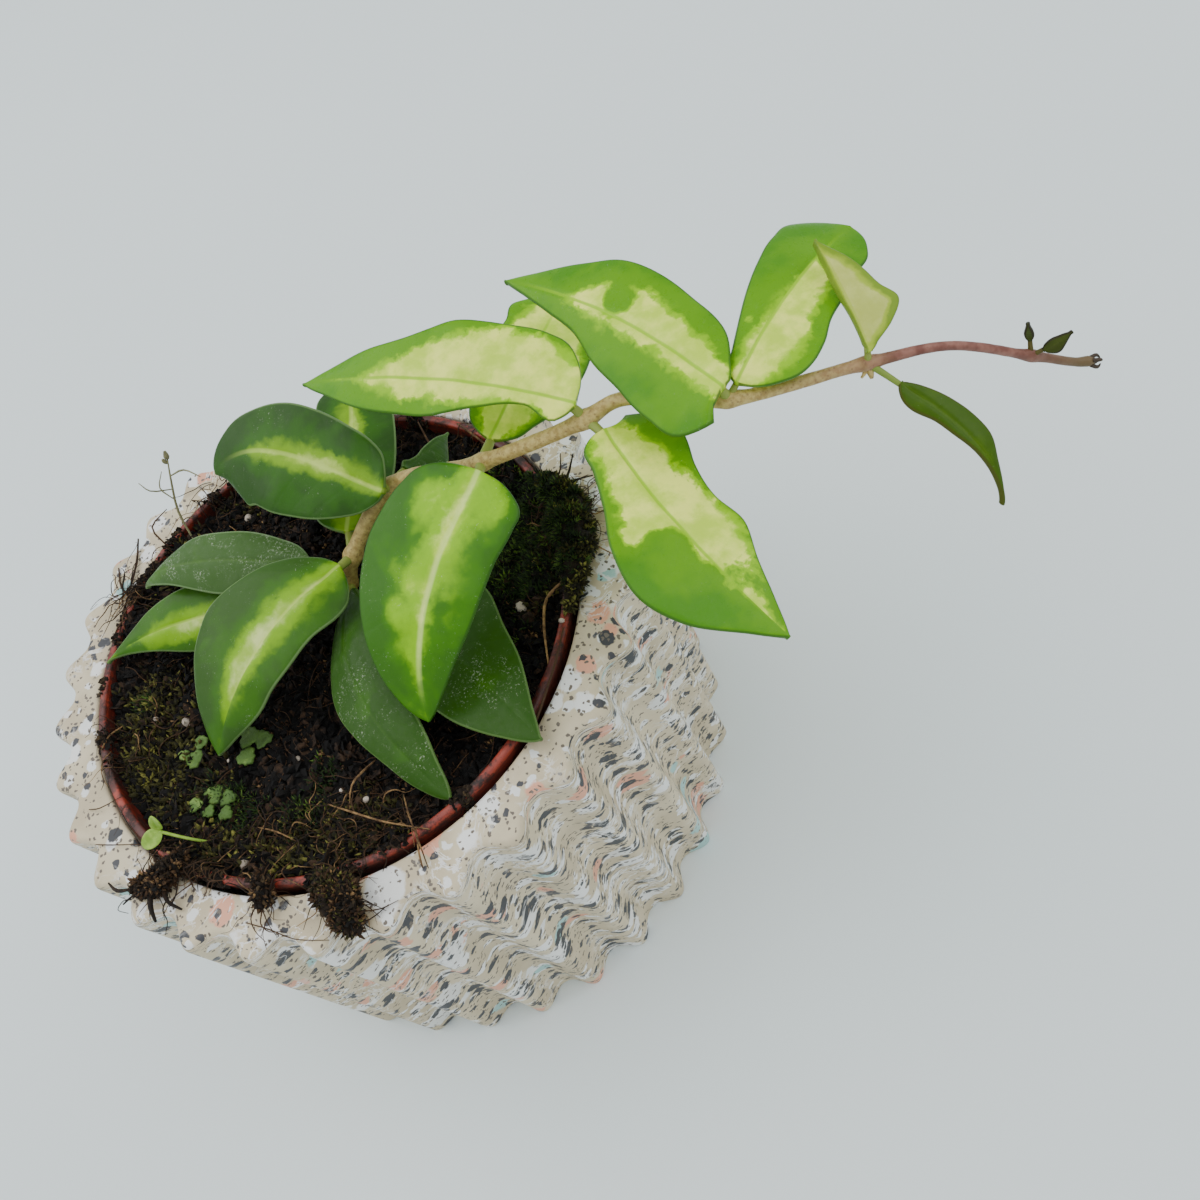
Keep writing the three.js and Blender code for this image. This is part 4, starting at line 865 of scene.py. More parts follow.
# %% Patterns of the leaves
# Half widths of the pale centre at the seven stations, left and right of the midrib, in mm. Spots
# are where the pattern breaks: how far along, how far right of the midrib, radius, and a new value.
BARE = (-9,) * 7
PATTERNS = {
    "leaf_soil_left": (OLD, (2, 2.4, 3, 3.4, 3, 1.5, -1.5), (1, 1.4, 1.8, 1.8, 0.8, -0.5, -2), ()),
    "leaf_soil_front": (OLD_PLAIN, BARE, BARE, ()),
    "leaf_low_back": (OLD_GREY, BARE, BARE, ()),
    "leaf_low_front": (OLD_PLAIN, BARE, BARE, ()),
    "leaf_crown_left": (OLD, (0.6, 1.4, 2.4, 2, 0.6, -2, -5), (1, 2, 3.4, 4.6, 4.4, 1.2, -3.5), ()),
    "leaf_crown_back": (OLD_PALE, (1, 1.5, 2, 2, 1.5, 1, 0), (1, 2, 2.5, 2.5, 2, 1, 0), ()),
    "leaf_inner_back": (OLD_PALE, (0.2, 0.6, 1.4, 2, 1.6, 0, -4), (0.6, 1.6, 2.6, 1.4, 0.8, -0.3, -4), ()),
    "leaf_inner_right": (OLD_PLAIN, BARE, BARE, ()),
    "leaf_rim_front": (MIDDLE, (2, 2.5, 2, 0.8, 0, -1, -3), (2, 3, 3.2, 3, 2.2, 0.8, -2.5),
                       ((0.1, -6, 4.5, -0.4), (0.17, 7, 5, 0.3), (0.42, 9, 3.5, -4), (0.6, 6, 3, -0.3),
                        (0.48, 4, 2.5, 1.2))),
    "leaf_rim_back": (YOUNG, (3, 5, 7.6, 8.2, 7.8, 7, 5), (3, 5, 8.4, 9.6, 9.9, 8.8, 5), ()),
    "leaf_over_left": (YOUNG, (4.5, 2.7, 4, 4.8, 3.8, 0.5, -3), (8.4, 11.6, 12.1, 9, 4.5, 0, -1), ()),
    "leaf_over_front": (YOUNG, (4.5, 7, 7.5, 9.3, 8.8, 6, 0), (4, 4.5, 6, 10, 2, -2, -2),
                        ((0.53, 4, 4.5, -4), (0.75, -2, 5, -0.1))),
    "leaf_outer_left": (YOUNG, (2.5, 3, 2.5, 2.5, 2, -1, -3), (3, 5, 6, 7.5, 5, -2, -3),
                        ((0.5, 3, 3.5, -4),)),
    "leaf_outer_right": (YOUNG, (1.5, 1.5, 0.5, 0.5, -0.5, -2, -2), (5, 7, 7.5, 6.5, 5.5, 0, -2),
                         ((0.3, -3.5, 1.2, -0.2),)),
    "leaf_young_back": (NEWEST, (0.3,) * 7, (0.6, 4.2, 6.9, 4.9, 3.7, 2.2, -0.5), ()),
    "leaf_young_front": (OLIVE, BARE, BARE, ()),
    "leaf_sprout_back": (SPROUT, BARE, BARE, ()),
    "leaf_sprout_front": (SPROUT, BARE, BARE, ()),
}

# %% Shape of a leaf


def smooth_step(x):
    """A soft step from 0 to 1 as x goes from 0 to 1."""
    x = min(1.0, max(0.0, x))
    return x * x * (3 - 2 * x)


def hump(t, top):
    """0 at both ends and 1 at top."""
    if t <= 0 or t >= 1:
        return 0.0
    return ((t / top) ** top * ((1 - t) / (1 - top)) ** (1 - top)) ** 2


def half_width(leaf, side, t):
    """The blade's half width on one side: round at the base, smooth between stations, blunt at the tip."""
    w = leaf[side]
    if t < STATIONS[0]:
        width = w[0] * (max(0, t) / STATIONS[0]) ** (0.38 if w[0] > 8 else 0.5)
    elif t > STATIONS[-1]:
        blunt = min(1.2, max(0.42, 0.4 * w[-2] / w[-1] - 0.1))
        width = w[-1] * max(0, (1 - t) / (1 - STATIONS[-1])) ** blunt
    else:
        ends = [(0, 0), *zip(STATIONS, w), (1, 0)]
        k = min(6, sum(1 for s in STATIONS if s <= t))
        (t0, w0), (t1, w1), (t2, w2), (t3, w3) = ends[k - 1:k + 3]
        u = (t - t1) / (t2 - t1)
        r1, r2 = (w2 - w0) / (t2 - t0) * (t2 - t1), (w3 - w1) / (t3 - t1) * (t2 - t1)
        width = hermite(u, w1, r1, w2, r2)
    return max(width, leaf["petiole"] * (1 - t / 0.08), BLADE_MARGIN)


def leaf_frame(leaf):
    """The leaf's base and tip, the way it faces, and the way to its right."""
    base, tip = np.array(leaf["base"], float), np.array(leaf["tip"], float)
    chord = unit(tip - base)
    up = np.array(leaf["faces"], float)
    up = unit(up - chord * (up @ chord))
    return base, tip, up, np.cross(chord, up)


def midrib(leaf, t):
    """The midrib at t from 0 at the base to 1 at the tip."""
    base, tip, up, side = leaf_frame(leaf)
    (arch, arch_at), (sway, sway_at) = leaf["arch"], leaf["sway"]
    return base + (tip - base) * t + up * arch * hump(t, arch_at) + side * sway * hump(t, sway_at)


# Rows lie closer together at both ends, and columns closer together beside the midrib.
MIDDLE_ROWS = 61
ROWS = (0, 0.004, 0.01, 0.018, *(0.03 + 0.94 * k / MIDDLE_ROWS for k in range(MIDDLE_ROWS + 1)), 0.98,
        0.988, 0.994, 0.998, 1)
ACROSS = (0, 0.03, 0.08, 0.16, 0.27, 0.39, 0.51, 0.63, 0.74, 0.84, 0.92)
QUILT, GROOVE, GROOVE_WIDTH = 0.45, 0.30, 0.55  # mm: slow dents in the blade, and the midrib's groove
STALK_NUMBERS = (-1.0, 5.0, 5.0, -9.0)  # a petiole's own, so that it is neither blade, rib nor cream


def leaf_piece(name, leaf, seed):
    """One leaf: its blade on a fine grid with rounded margins, and its petiole down to the stem."""
    skin, left, right, breaks = PATTERNS[name]
    up = leaf_frame(leaf)[2]
    length = np.linalg.norm(np.array(leaf["tip"]) - leaf["base"])
    height, waves, *starts = leaf["ripple"]
    points, numbers = [], []
    for t in ROWS:
        centre = midrib(leaf, t)
        ahead = unit(midrib(leaf, min(1, t + 0.01)) - midrib(leaf, max(0, t - 0.01)))
        side = unit(np.cross(ahead, up))
        normal = unit(np.cross(side, ahead))
        round_base = 1 - smooth_step(t / 0.08)
        upper, lower = [], []
        for half, key in ((0, "left"), (1, "right")):
            width = half_width(leaf, key, t)
            wide = min(1, width / max(leaf[key])) * (1 - round_base)
            edge_round = min(0.35, width * 0.3)
            columns = [s * (1 - edge_round / width) / ACROSS[-1] for s in ACROSS]
            columns += [1 - 0.35 * edge_round / width, 1]
            sign = 1 if half else -1
            for s in columns if half else columns[:0:-1]:
                from_edge = width * (1 - s)
                rim = math.sqrt(max(0, 1 - (1 - min(1, from_edge / edge_round)) ** 2))
                ripple = height * math.sin(2 * math.pi * (waves * t + starts[half]))
                rise = wide * s * s * (ripple + leaf["lift"][half])
                flat = BLADE_MIDDLE + (BLADE_MARGIN - BLADE_MIDDLE) * s * s
                full = max(leaf["petiole"] * math.sqrt(max(0, 1 - s * s)), BLADE_MARGIN)
                thick = (flat + (full - flat) * round_base) * (0.15 + 0.85 * rim)
                back = leaf.get("lobe", (0, 0))[half] * s * s * (1 - smooth_step(t / 0.25)) * min(1, t / 0.01)
                x = sign * s * width
                quilt = QUILT * wide * noise.noise(Vector((x / 6, t * length / 7, seed * 3.7)))
                groove = GROOVE * math.exp(-(x / GROOVE_WIDTH) ** 2) * (1 - round_base) * (1 - t) ** 0.5
                middle = centre + side * x + normal * (rise + quilt) - ahead * back
                upper.append((middle + normal * (thick - groove), x, s, from_edge))
                lower.append((middle - normal * thick * 0.92, x, s, from_edge))
        ring = upper + lower[-2:0:-1]
        for spot, x, s, from_edge in ring:
            table = right if x >= 0 else left
            limit = float(np.interp(t, (0, *STATIONS, 1), (table[0] * 0.7, *table, min(table[-1], 0) - 1)))
            cream = limit - abs(x)
            for at, off, reach, value in breaks:
                pull = smooth_step(1.4 - math.hypot((t - at) * length, x - off) / reach)
                cream += (value - cream) * pull
            points.append(spot)
            numbers.append((t, x, from_edge, cream))
    count = len(ring)
    faces = grid_faces(len(ROWS) - 1, count)
    n_upper = len(upper)
    for r, turn in ((0, -1), (len(ROWS) - 1, 1)):
        # Both ends are closed with a strip of faces between the upper and the lower side.
        ring_at = [r * count + i for i in range(count)]
        low = [ring_at[0], *ring_at[:n_upper - 1:-1], ring_at[n_upper - 1]]
        for i in range(n_upper - 1):
            face = list(dict.fromkeys((ring_at[i], low[i], low[i + 1], ring_at[i + 1])))
            if len(face) > 2:
                faces.append(tuple(face[::turn]))
    stem = node_spots[leaf["node"]]
    meets = midrib(leaf, 0.045) - up * 0.25
    bend = (stem + midrib(leaf, 0.0)) / 2 * 0.5 + (stem + meets) / 4
    thick = leaf["petiole"]
    stalk, stalk_faces, _ = tube([stem, bend, meets], [thick * 1.08, thick * 0.95, thick * 0.8], 16, 14)
    points, faces, numbers = gathered([(points, faces, numbers),
                                       (stalk, stalk_faces, [STALK_NUMBERS] * len(stalk))])
    thing = mesh_object(name.replace("leaf_", "hoya_leaf_"), points, faces, skin)
    for k, key in enumerate(("leaf_t", "leaf_x", "leaf_edge", "cream")):
        carry(thing, key, [row[k] for row in numbers])
    outward(thing)
    finish(thing, "old_leaf" if leaf["node"] in OLD_NODES else "young_leaf", name)


# %% All eighteen leaves
OLD_NODES = ("soil", "low", "crown", "inner")
for k, (name, leaf) in enumerate(LEAVES.items()):
    leaf_piece(name, leaf, k)

# %% [markdown]
# ## Peat
# Potting peat is a dark, damp crumble. Its large lumps are modelled in the surface, its crumbs are
# scattered over that by Geometry Nodes, and its grain is left to the shader's bump. One tree
# scatters everything small: crumbs lie any way round, while moss sprigs stand up from what they
# grow on. A weight on the surface says how thickly they lie.

# %% Finishes of the soil


def crumbly(name, dark, middle, light, roughness=0.92, grain=0.6):
    """Dry or damp crumble: no gloss, three tones by each crumb's own number, and a rough grain."""
    material, tree, shader, where = new_material(name, ior=1.4, roughness=roughness)
    tone = add(tree, "Attribute", out="Fac", attribute_name="tone")
    cloud = add(tree, "TexNoise", clouds(where, 2.2, 5.0, 0.7), "Fac")
    part = add(tree, "Math", [tone, 0.6, -0.2], 0, operation="MULTIPLY_ADD")
    mixed = add(tree, "Math", [cloud, 0.8, part], 0, operation="MULTIPLY_ADD")
    amount = add(tree, "MapRange", [mixed, 0.2, 0.55], 0, **SMOOTH)
    colour = add(tree, "Mix", {0: amount, 6: dark, 7: middle}, 2, **COLOURS)
    amount = add(tree, "MapRange", [mixed, 0.62, 0.9], 0, **SMOOTH)
    colour = add(tree, "Mix", {0: amount, 6: colour, 7: light}, 2, **COLOURS)
    tree.links.new(colour, shader.inputs["Base Color"])
    rough = add(tree, "TexNoise", clouds(where, grain, 4.0, 0.7), "Fac")
    relief = add(tree, "Bump", {"Height": rough, "Distance": 0.5 * MM, "Strength": 0.9}, 0)
    tree.links.new(relief, shader.inputs["Normal"])
    return material


peat = crumbly("damp_peat", "#030201", "#0e0a07", "#4a3626")
clod_peat = crumbly("rooty_peat", "#0a0704", "#241a10", "#5c4a30")
fibre = crumbly("dry_roots", "#1c120a", "#4f361f", "#b48d5c", roughness=0.7, grain=0.3)
moss_green = crumbly("feathery_moss", "#0c1604", "#263e0e", "#6f9030", roughness=0.75, grain=0.4)
moss_olive = crumbly("olive_moss", "#141305", "#403d14", "#a09c4a", roughness=0.8, grain=0.4)
chalk = crumbly("pale_grit", "#7d6f60", "#c4b5a4", "#efe3d6", roughness=0.8, grain=0.5)
straw = crumbly("dead_straw", "#4c4a34", "#84805c", "#b4b08a")
liver = crumbly("liverwort", "#30461c", "#50702c", "#88a650", roughness=0.5, grain=0.8)

# %% A tree that scatters small things


def scatter_tree():
    """Puts turned and scaled copies of a grain on a surface, as thickly as its weight says."""
    tree, given, output = new_tree("scattered grains", Density=1e6, Smallest=0.5, Largest=1.5, Tilt=0.5,
                                   Seed=1)
    tree.interface.new_socket("Grain", in_out="INPUT", socket_type="NodeSocketObject")
    tree.interface.new_socket("Material", in_out="INPUT", socket_type="NodeSocketMaterial")
    weight = add(tree, "GeometryNodeInputNamedAttribute", {"Name": "weight"}, 0, data_type="FLOAT")
    density = add(tree, "Math", [weight, given.outputs["Density"]], 0, operation="MULTIPLY")
    points = add(tree, "GeometryNodeDistributePointsOnFaces",
                 {"Mesh": given.outputs["Geometry"], "Density": density, "Seed": given.outputs["Seed"]})
    grain = add(tree, "GeometryNodeObjectInfo", {"Object": given.outputs["Grain"]})
    size = add(tree, "FunctionNodeRandomValue", {2: given.outputs["Smallest"], 3: given.outputs["Largest"],
                                                 "Seed": given.outputs["Seed"]}, 1, data_type="FLOAT")
    placed = add(tree, "GeometryNodeInstanceOnPoints",
                 {"Points": points.outputs["Points"], "Instance": grain.outputs["Geometry"],
                  "Rotation": points.outputs["Rotation"], "Scale": size})
    tilt = given.outputs["Tilt"]
    low = add(tree, "Math", [tilt, -1], 0, operation="MULTIPLY")
    low = add(tree, "CombineXYZ", [low, low, -math.pi])
    high = add(tree, "CombineXYZ", [tilt, tilt, math.pi])
    turn = add(tree, "FunctionNodeRandomValue", {0: low.outputs[0], 1: high.outputs[0],
                                                 "Seed": given.outputs["Seed"]}, 0,
               data_type="FLOAT_VECTOR")
    turned = add(tree, "GeometryNodeRotateInstances", {"Instances": placed.outputs[0], "Rotation": turn})
    tone = add(tree, "FunctionNodeRandomValue", {2: 0.0, 3: 1.0, "Seed": 7}, 1, data_type="FLOAT")
    toned = add(tree, "GeometryNodeStoreNamedAttribute",
                {"Geometry": turned.outputs[0], "Name": "tone", "Value": tone}, data_type="FLOAT",
                domain="INSTANCE")
    close_tree(tree, toned.outputs[0], given.outputs["Material"], output)
    return tree


def crumb_grain():
    """A lump of 20 faces, about 1 mm across."""
    work = bmesh.new()
    bmesh.ops.create_icosphere(work, subdivisions=1, radius=0.5 * MM)
    for v in work.verts:
        v.co *= 1 + 0.9 * noise.noise(v.co * 2600 + Vector((3, 1, 2)))
        v.co.x *= 1.25
        v.co.z *= 0.7
    return grain_object("crumb", work)


def sprig_grain(leaves, reach_mm, width_mm):
    """A moss sprig: narrow pointed leaves that spread from one foot. Each leaf has eight faces."""
    work = bmesh.new()
    for k in range(leaves):
        a = 2 * math.pi * k / leaves * 1.6
        lean = 0.35 + 0.75 * (k % 3) / 2
        out = Vector((math.cos(a) * math.sin(lean), math.sin(a) * math.sin(lean), math.cos(lean)))
        side = out.cross(Vector((0, 0, 1))).normalized()
        other = out.cross(side)
        foot, end, middle = Vector((0, 0, -0.3 * MM)), out * reach_mm * MM, out * reach_mm * MM * 0.45
        ring = [middle + d * width_mm * MM for d in (side, other * 0.5, -side, -other * 0.5)]
        low, top = work.verts.new(foot + ring[0] * 0.02), work.verts.new(end)
        mid = [work.verts.new(p) for p in ring]
        for i in range(4):
            work.faces.new((mid[i], mid[(i + 1) % 4], top))
            work.faces.new((mid[(i + 1) % 4], mid[i], low))
    return grain_object("sprig", work)


def grain_object(name, work):
    """The grain as an object that a tree can copy."""
    bmesh.ops.recalc_face_normals(work, faces=work.faces)
    mesh = bpy.data.meshes.new(name)
    work.to_mesh(mesh)
    work.free()
    return linked(name, mesh)


def scattered(name, surface, weights, grain, material, slot, per_mm2, smallest, largest, tilt, seed):
    """A layer of grains over a surface, as a piece of its own."""
    thing = linked(name, surface.data.copy())
    carry(thing, "weight", weights)
    run_tree(thing, scatter, Density=per_mm2 * 1e6, Smallest=smallest, Largest=largest, Tilt=tilt,
             Seed=seed, Grain=grain, Material=material)
    if "weight" in thing.data.attributes:
        thing.data.attributes.remove(thing.data.attributes["weight"])
    # Crumbs keep their sharp faces, and leaves of moss are smooth.
    thing.data.polygons.foreach_set("use_smooth", [grain is not crumb] * len(thing.data.polygons))
    finish(thing, slot)


scatter = scatter_tree()
crumb = crumb_grain()
feather = sprig_grain(7, 2.6, 0.24)
stub = sprig_grain(5, 1.5, 0.3)
print("faces of a crumb, a feather and a stub:", [len(g.data.polygons) for g in (crumb, feather, stub)])

# %% The body of the soil
SOIL_TOP, SOIL_DISH, SOIL_LUMP = 85.4, 2.0, 0.9  # mm


def soil_height(x, y):
    """The peat's height in mm: a shallow dish with lumps, as in the CAD model."""
    lumps = math.sin(x * 0.31 + 1.3 * math.sin(y * 0.17)) * math.cos(y * 0.27 + 0.9 * math.sin(x * 0.21))
    return SOIL_TOP - SOIL_DISH * (1 - (math.hypot(x, y) / POT_RADIUS) ** 2) + SOIL_LUMP * lumps


# Where peat is heaped up against the lip: degrees round from +X, half width in degrees, strength.
BANKS = [(-8, 20, 1.0), (130, 24, 0.95), (85, 22, 0.6), (-112, 13, 0.9), (-145, 12, 0.8)]
BANK_HEIGHT = 3.1


def banked(x, y):
    """How far the peat is heaped up against the pot's lip here, from 0 to 1."""
    turn = math.degrees(math.atan2(y, x))
    heap = max(s * math.exp(-(((turn - at + 180) % 360 - 180) / wide) ** 2) for at, wide, s in BANKS)
    return heap * smooth_step((math.hypot(x, y) - 46) / 10)


def lumpy_height(x, y):
    """The same with finer lumps, and banks of peat against the lip."""
    spot = Vector((x, y, 0))
    fine = 0.9 * noise.noise(spot / 6) + 0.7 * noise.noise(spot / 2.6 + Vector((5, 1, 0)))
    return soil_height(x, y) + fine + BANK_HEIGHT * banked(x, y)


SOIL_RINGS, SOIL_AROUND = 84, 250
SOIL_EDGE = 57.5


def soil_ring(radius, height=None):
    """A ring of points: on the peat's top, or at one height."""
    turns = [2 * math.pi * i / SOIL_AROUND for i in range(SOIL_AROUND)]
    spots = [(radius * math.cos(a), radius * math.sin(a)) for a in turns]
    return [(x, y, lumpy_height(x, y) if height is None else height) for x, y in spots]


soil_points = [(0, 0, lumpy_height(0, 0))]
for k in range(1, SOIL_RINGS + 1):
    soil_points += soil_ring(SOIL_EDGE * k / SOIL_RINGS)
soil_points += soil_ring(POT_RADIUS - 5.2, pot_lip - 1.5)
soil_points += soil_ring(inner_foot - 1.8, pot_foot + POT_WALL + GAP)
soil_faces = [(0, 1 + i, 1 + (i + 1) % SOIL_AROUND) for i in range(SOIL_AROUND)]
soil_faces += [face[:1] + face[:0:-1] for face in grid_faces(SOIL_RINGS + 1, SOIL_AROUND, start=1)]
soil_faces.append(tuple(range(len(soil_points) - SOIL_AROUND, len(soil_points)))[::-1])
soil = mesh_object("peat_body", soil_points, soil_faces, peat)
carry(soil, "tone", [0.3] * len(soil_points))
outward(soil)
finish(soil, "peat", "soil")

# %% Crumbs and moss on the soil


def near(x, y, patches):
    """How much moss grows here: each patch has a place, a reach and a strength."""
    return min(1.0, sum(s * math.exp(-((x - u) ** 2 + (y - v) ** 2) / (r * r)) for u, v, r, s in patches))


def patchy(spot, size, low, contrast):
    """Drifts of about size mm, from 0 to 1."""
    return max(0, min(1, low + contrast * noise.noise(Vector(spot) / size)))


def points_of(thing):
    """A piece's points in mm."""
    return [v.co / MM for v in thing.data.vertices]


GREEN_MOSS = [(50, -3, 8, 1), (50, -15, 7, 1), (45, -10, 8, 0.9), (43, -20, 6, 0.6), (-14.4, -32, 2.2, 1),
              (-22, -38, 4, 1), (-38.3, -22, 4, 0.8), (-47.8, 12.8, 2.5, 0.8), (-33, -29, 4, 0.7),
              (46, 12, 8, 0.5)]
OLIVE_MOSS = [(-50, 5, 8, 1), (-49, -7, 7, 1), (-44, 14, 6, 0.7), (-44, -18, 7, 0.6), (54, -15, 4, 1),
              (52, -24, 5, 0.9), (-16, -47, 8, 0.9), (-28, -44, 7, 0.7), (-41, -35, 6, 0.8),
              (-8, -50, 6, 0.5), (0, 52, 9, 0.3), (-30, 46, 8, 0.5)]
TOP_BEGINS = 82  # the peat's top lies above this height
soil_spots = points_of(soil)
on_top = [float(p.z > TOP_BEGINS) for p in soil_spots]
green, olive = ([w * near(p.x, p.y, patches) for w, p in zip(on_top, soil_spots)]
                for patches in (GREEN_MOSS, OLIVE_MOSS))
scattered("peat_crumbs", soil, on_top, crumb, peat, "peat", 0.75, 0.6, 3.0, math.pi, 11)
scattered("green_moss", soil, green, feather, moss_green, "moss", 1.3, 0.5, 1.25, 0.5, 12)
scattered("olive_moss", soil, olive, stub, moss_olive, "moss", 1.3, 0.7, 2.1, 0.8, 13)

# Dry bits of root and bark lie on the peat in drifts.
drifts = [w * patchy((p.x, p.y, 3), 7, 0.35, 2.2) for w, p in zip(on_top, soil_spots)]
scattered("dry_chaff", soil, drifts, stub, fibre, "peat", 0.9, 0.35, 1.3, 1.5, 15)

# Where the peat is banked up, crumbs and dirt lie on the pot's lip as well.
LIP_BEGINS = 88.7
spilt = [patchy((p.x, p.y, 0), 5, banked(p.x, p.y) * 2 - 1.5, 4.5) if p.z > LIP_BEGINS else 0.0
         for p in points_of(pot)]
scattered("lip_crumbs", pot, spilt, crumb, clod_peat, "peat", 7.0, 0.3, 1.4, math.pi, 14)

# %% [markdown]
# ## Clods, moss and roots on the rim
# The plant was potted in a hurry: torn lumps of peat and roots hang over the rim. Each clod is a
# tube along the path of its CAD solid, roughened by noise. Roots are thin tubes on random walks
# that keep to the ground below them, with a fixed seed, and the few that stand out in the
# photograph are drawn through measured points.

# %% Clods
CLODS = {  # points in mm and the radius there, as in the CAD model
    "clod_front": (((-20, -55.5, 90.8), 2.6), ((-18.5, -61, 92), 4), ((-18, -66, 90.6), 3.4),
                   ((-18.3, -70.3, 89.2), 2.2)),
    "clod_middle": (((-31.6, -47.6, 91), 2), ((-32.4, -51, 91.2), 3), ((-33.4, -54.6, 90.2), 2.2)),
    "clod_left": (((-46.5, -33.5, 91), 2.2), ((-50.5, -35, 91.6), 3.2), ((-55, -35.5, 90.2), 3.2),
                  ((-60, -32.6, 89.3), 2)),
    "moss_right": (((58.5, 2, 90.6), 2.6), ((61.5, -7, 91.5), 4.4), ((60, -17.5, 92), 5),
                   ((56, -26, 91.6), 4.6), ((49.5, -34.5, 90.4), 2.4)),
}
CLOD_STEPS, CLOD_SIDES = 46, 26
CLOD_LUMPS = ((0.5, 5), (0.38, 2.4), (0.3, 1.1))  # how much of the radius, and the lumps' size in mm


def ground(x, y):
    """The height of whatever lies below: peat, the pot's lip or the planter's top."""
    r = math.hypot(x, y)
    if r < 56.5:
        return lumpy_height(x, y)
    return POT_TOP if r < 60.3 else PLANTER_HEIGHT


def clod_piece(name, thing_name, path, squeeze):
    """A lumpy body along a path, which rests on the ground below it."""
    spots, faces, _ = tube([at for at, _ in path], [radius * squeeze for _, radius in path], CLOD_STEPS,
                           CLOD_SIDES)
    body = np.array(spots)
    for k in range(CLOD_STEPS + 1):
        ring = slice(k * CLOD_SIDES, (k + 1) * CLOD_SIDES)
        centre = body[ring].mean(axis=0)
        end = math.sin(math.pi * (k + 0.6) / (CLOD_STEPS + 1.2)) ** 0.35
        for i in range(ring.start, ring.stop):
            spot = Vector(body[i])
            rough = 0.84 + sum(much * noise.noise(spot / size) for much, size in CLOD_LUMPS)
            body[i] = centre + (body[i] - centre) * rough * end * (1, 1, 0.8)
            body[i][2] = max(body[i][2], ground(body[i][0], body[i][1]) + 0.25)
    thing = mesh_object(thing_name, body, faces, clod_peat)
    carry(thing, "tone", [0.4 + 0.5 * noise.noise(Vector(p) / 3) for p in body])
    outward(thing)
    finish(thing, "moss" if name == "moss_right" else "peat", name)
    return thing


clods = {name: clod_piece(name, f"peat_{name}", CLODS[name], 0.9)
         for name in ("clod_front", "clod_middle", "clod_left")}
cushion = clod_piece("moss_right", "moss_cushion_right", CLODS["moss_right"], 0.8)
for k, (name, thing) in enumerate(clods.items()):
    everywhere = [1.0] * len(thing.data.vertices)
    scattered(name + "_crumbs", thing, everywhere, crumb, clod_peat, "peat", 2.2, 0.4, 1.5, math.pi, 20 + k)
    scattered(name + "_fibres", thing, everywhere, stub, fibre, "peat", 1.1, 0.5, 1.5, 1.4, 60 + k)
CUSHION_MOSS = [(56, -2, 7, 1), (55, -14, 6, 1), (52, -22, 5, 0.7)]
cushion_spots = points_of(cushion)
tufts = [patchy(p, 4, 0.45, 2.6) for p in cushion_spots]
feathers = [near(p.x, p.y, CUSHION_MOSS) for p in cushion_spots]
scattered("cushion_sprigs", cushion, tufts, stub, moss_olive, "moss", 3.4, 0.6, 1.3, 0.7, 31)
scattered("cushion_feathers", cushion, feathers, feather, moss_green, "moss", 2.2, 0.5, 1.0, 0.6, 32)
mossy = [1.0 if p.y > -62 else 0.25 for p in points_of(clods["clod_front"])]
scattered("clod_moss", clods["clod_front"], mossy, stub, moss_olive, "moss", 1.6, 0.5, 1.1, 0.8, 33)

# %% Roots and fibres


def toned_piece(name, shapes, material, slot):
    """Many small closed shapes as one piece, each with its own tone."""
    spots, faces, tones = gathered(shapes)
    thing = mesh_object(name, spots, faces, material)
    carry(thing, "tone", tones)
    outward(thing)
    finish(thing, slot)


def fibre_tube(points, radius, tone, sides=5):
    """One root as a thin tube, with its tone of brown."""
    steps = max(6, 3 * (len(points) - 1))
    spots, faces, _ = tube(points, [radius * 0.7, radius, radius * 0.8, radius * 0.45], steps, sides)
    return spots, faces, [tone] * len(spots)


def wandering_root(chance, x, y, length, radius, tone, lift, drift=0.55):
    """A root on a random walk over the ground."""
    heading = chance.uniform(0, 2 * math.pi)
    count = max(4, int(length / 2.2))
    points = []
    high = chance.uniform(0.2, lift)
    for k in range(count + 1):
        rise = high * math.sin(math.pi * (k + 0.4) / (count + 0.8))
        points.append((x, y, ground(x, y) + radius + 0.25 + rise))
        heading += chance.uniform(-drift, drift)
        x += math.cos(heading) * length / count
        y += math.sin(heading) * length / count
        if math.hypot(x, y) > 72:
            heading += math.pi * 0.7
    return fibre_tube(points, radius, tone)


# Thickets of roots: where, how wide, how many, and the darkest tone of brown in them.
THICKETS = [(-16, -46, 8, 80, 0.1), (-28, -42, 7, 45, 0), (-41, -36, 6, 50, 0), (-5, -52, 5, 40, 0.1),
            (-50, 2, 9, 45, 0), (60, -12, 6, 110, 0.3), (-42, 44, 6, 45, 0), (-12, 56, 8, 35, 0),
            (40, 40, 8, 25, 0), (-18, -62, 3.2, 60, 0.1), (-54, -35, 3, 30, 0), (-33, -51, 2, 20, 0)]
LOOSE_ROOTS = 420
chance = random.Random(42)
loose = []
for _ in range(LOOSE_ROOTS):  # all over the peat
    a, r = chance.uniform(0, 2 * math.pi), 55 * math.sqrt(chance.random())
    length, radius, tone = chance.uniform(4, 13), chance.uniform(0.07, 0.17), chance.uniform(0.0, 0.75)
    loose.append(wandering_root(chance, r * math.cos(a), r * math.sin(a), length, radius, tone, 1.6))
for u, v, spread, count, darkest in THICKETS:
    for _ in range(count):
        x, y = chance.gauss(u, spread * 0.5), chance.gauss(v, spread * 0.5)
        length, radius = chance.uniform(4, 12), chance.uniform(0.06, 0.16)
        tone = chance.uniform(darkest, 1.0) ** 1.4
        loose.append(wandering_root(chance, x, y, length, radius, tone, 2.8, drift=0.95))
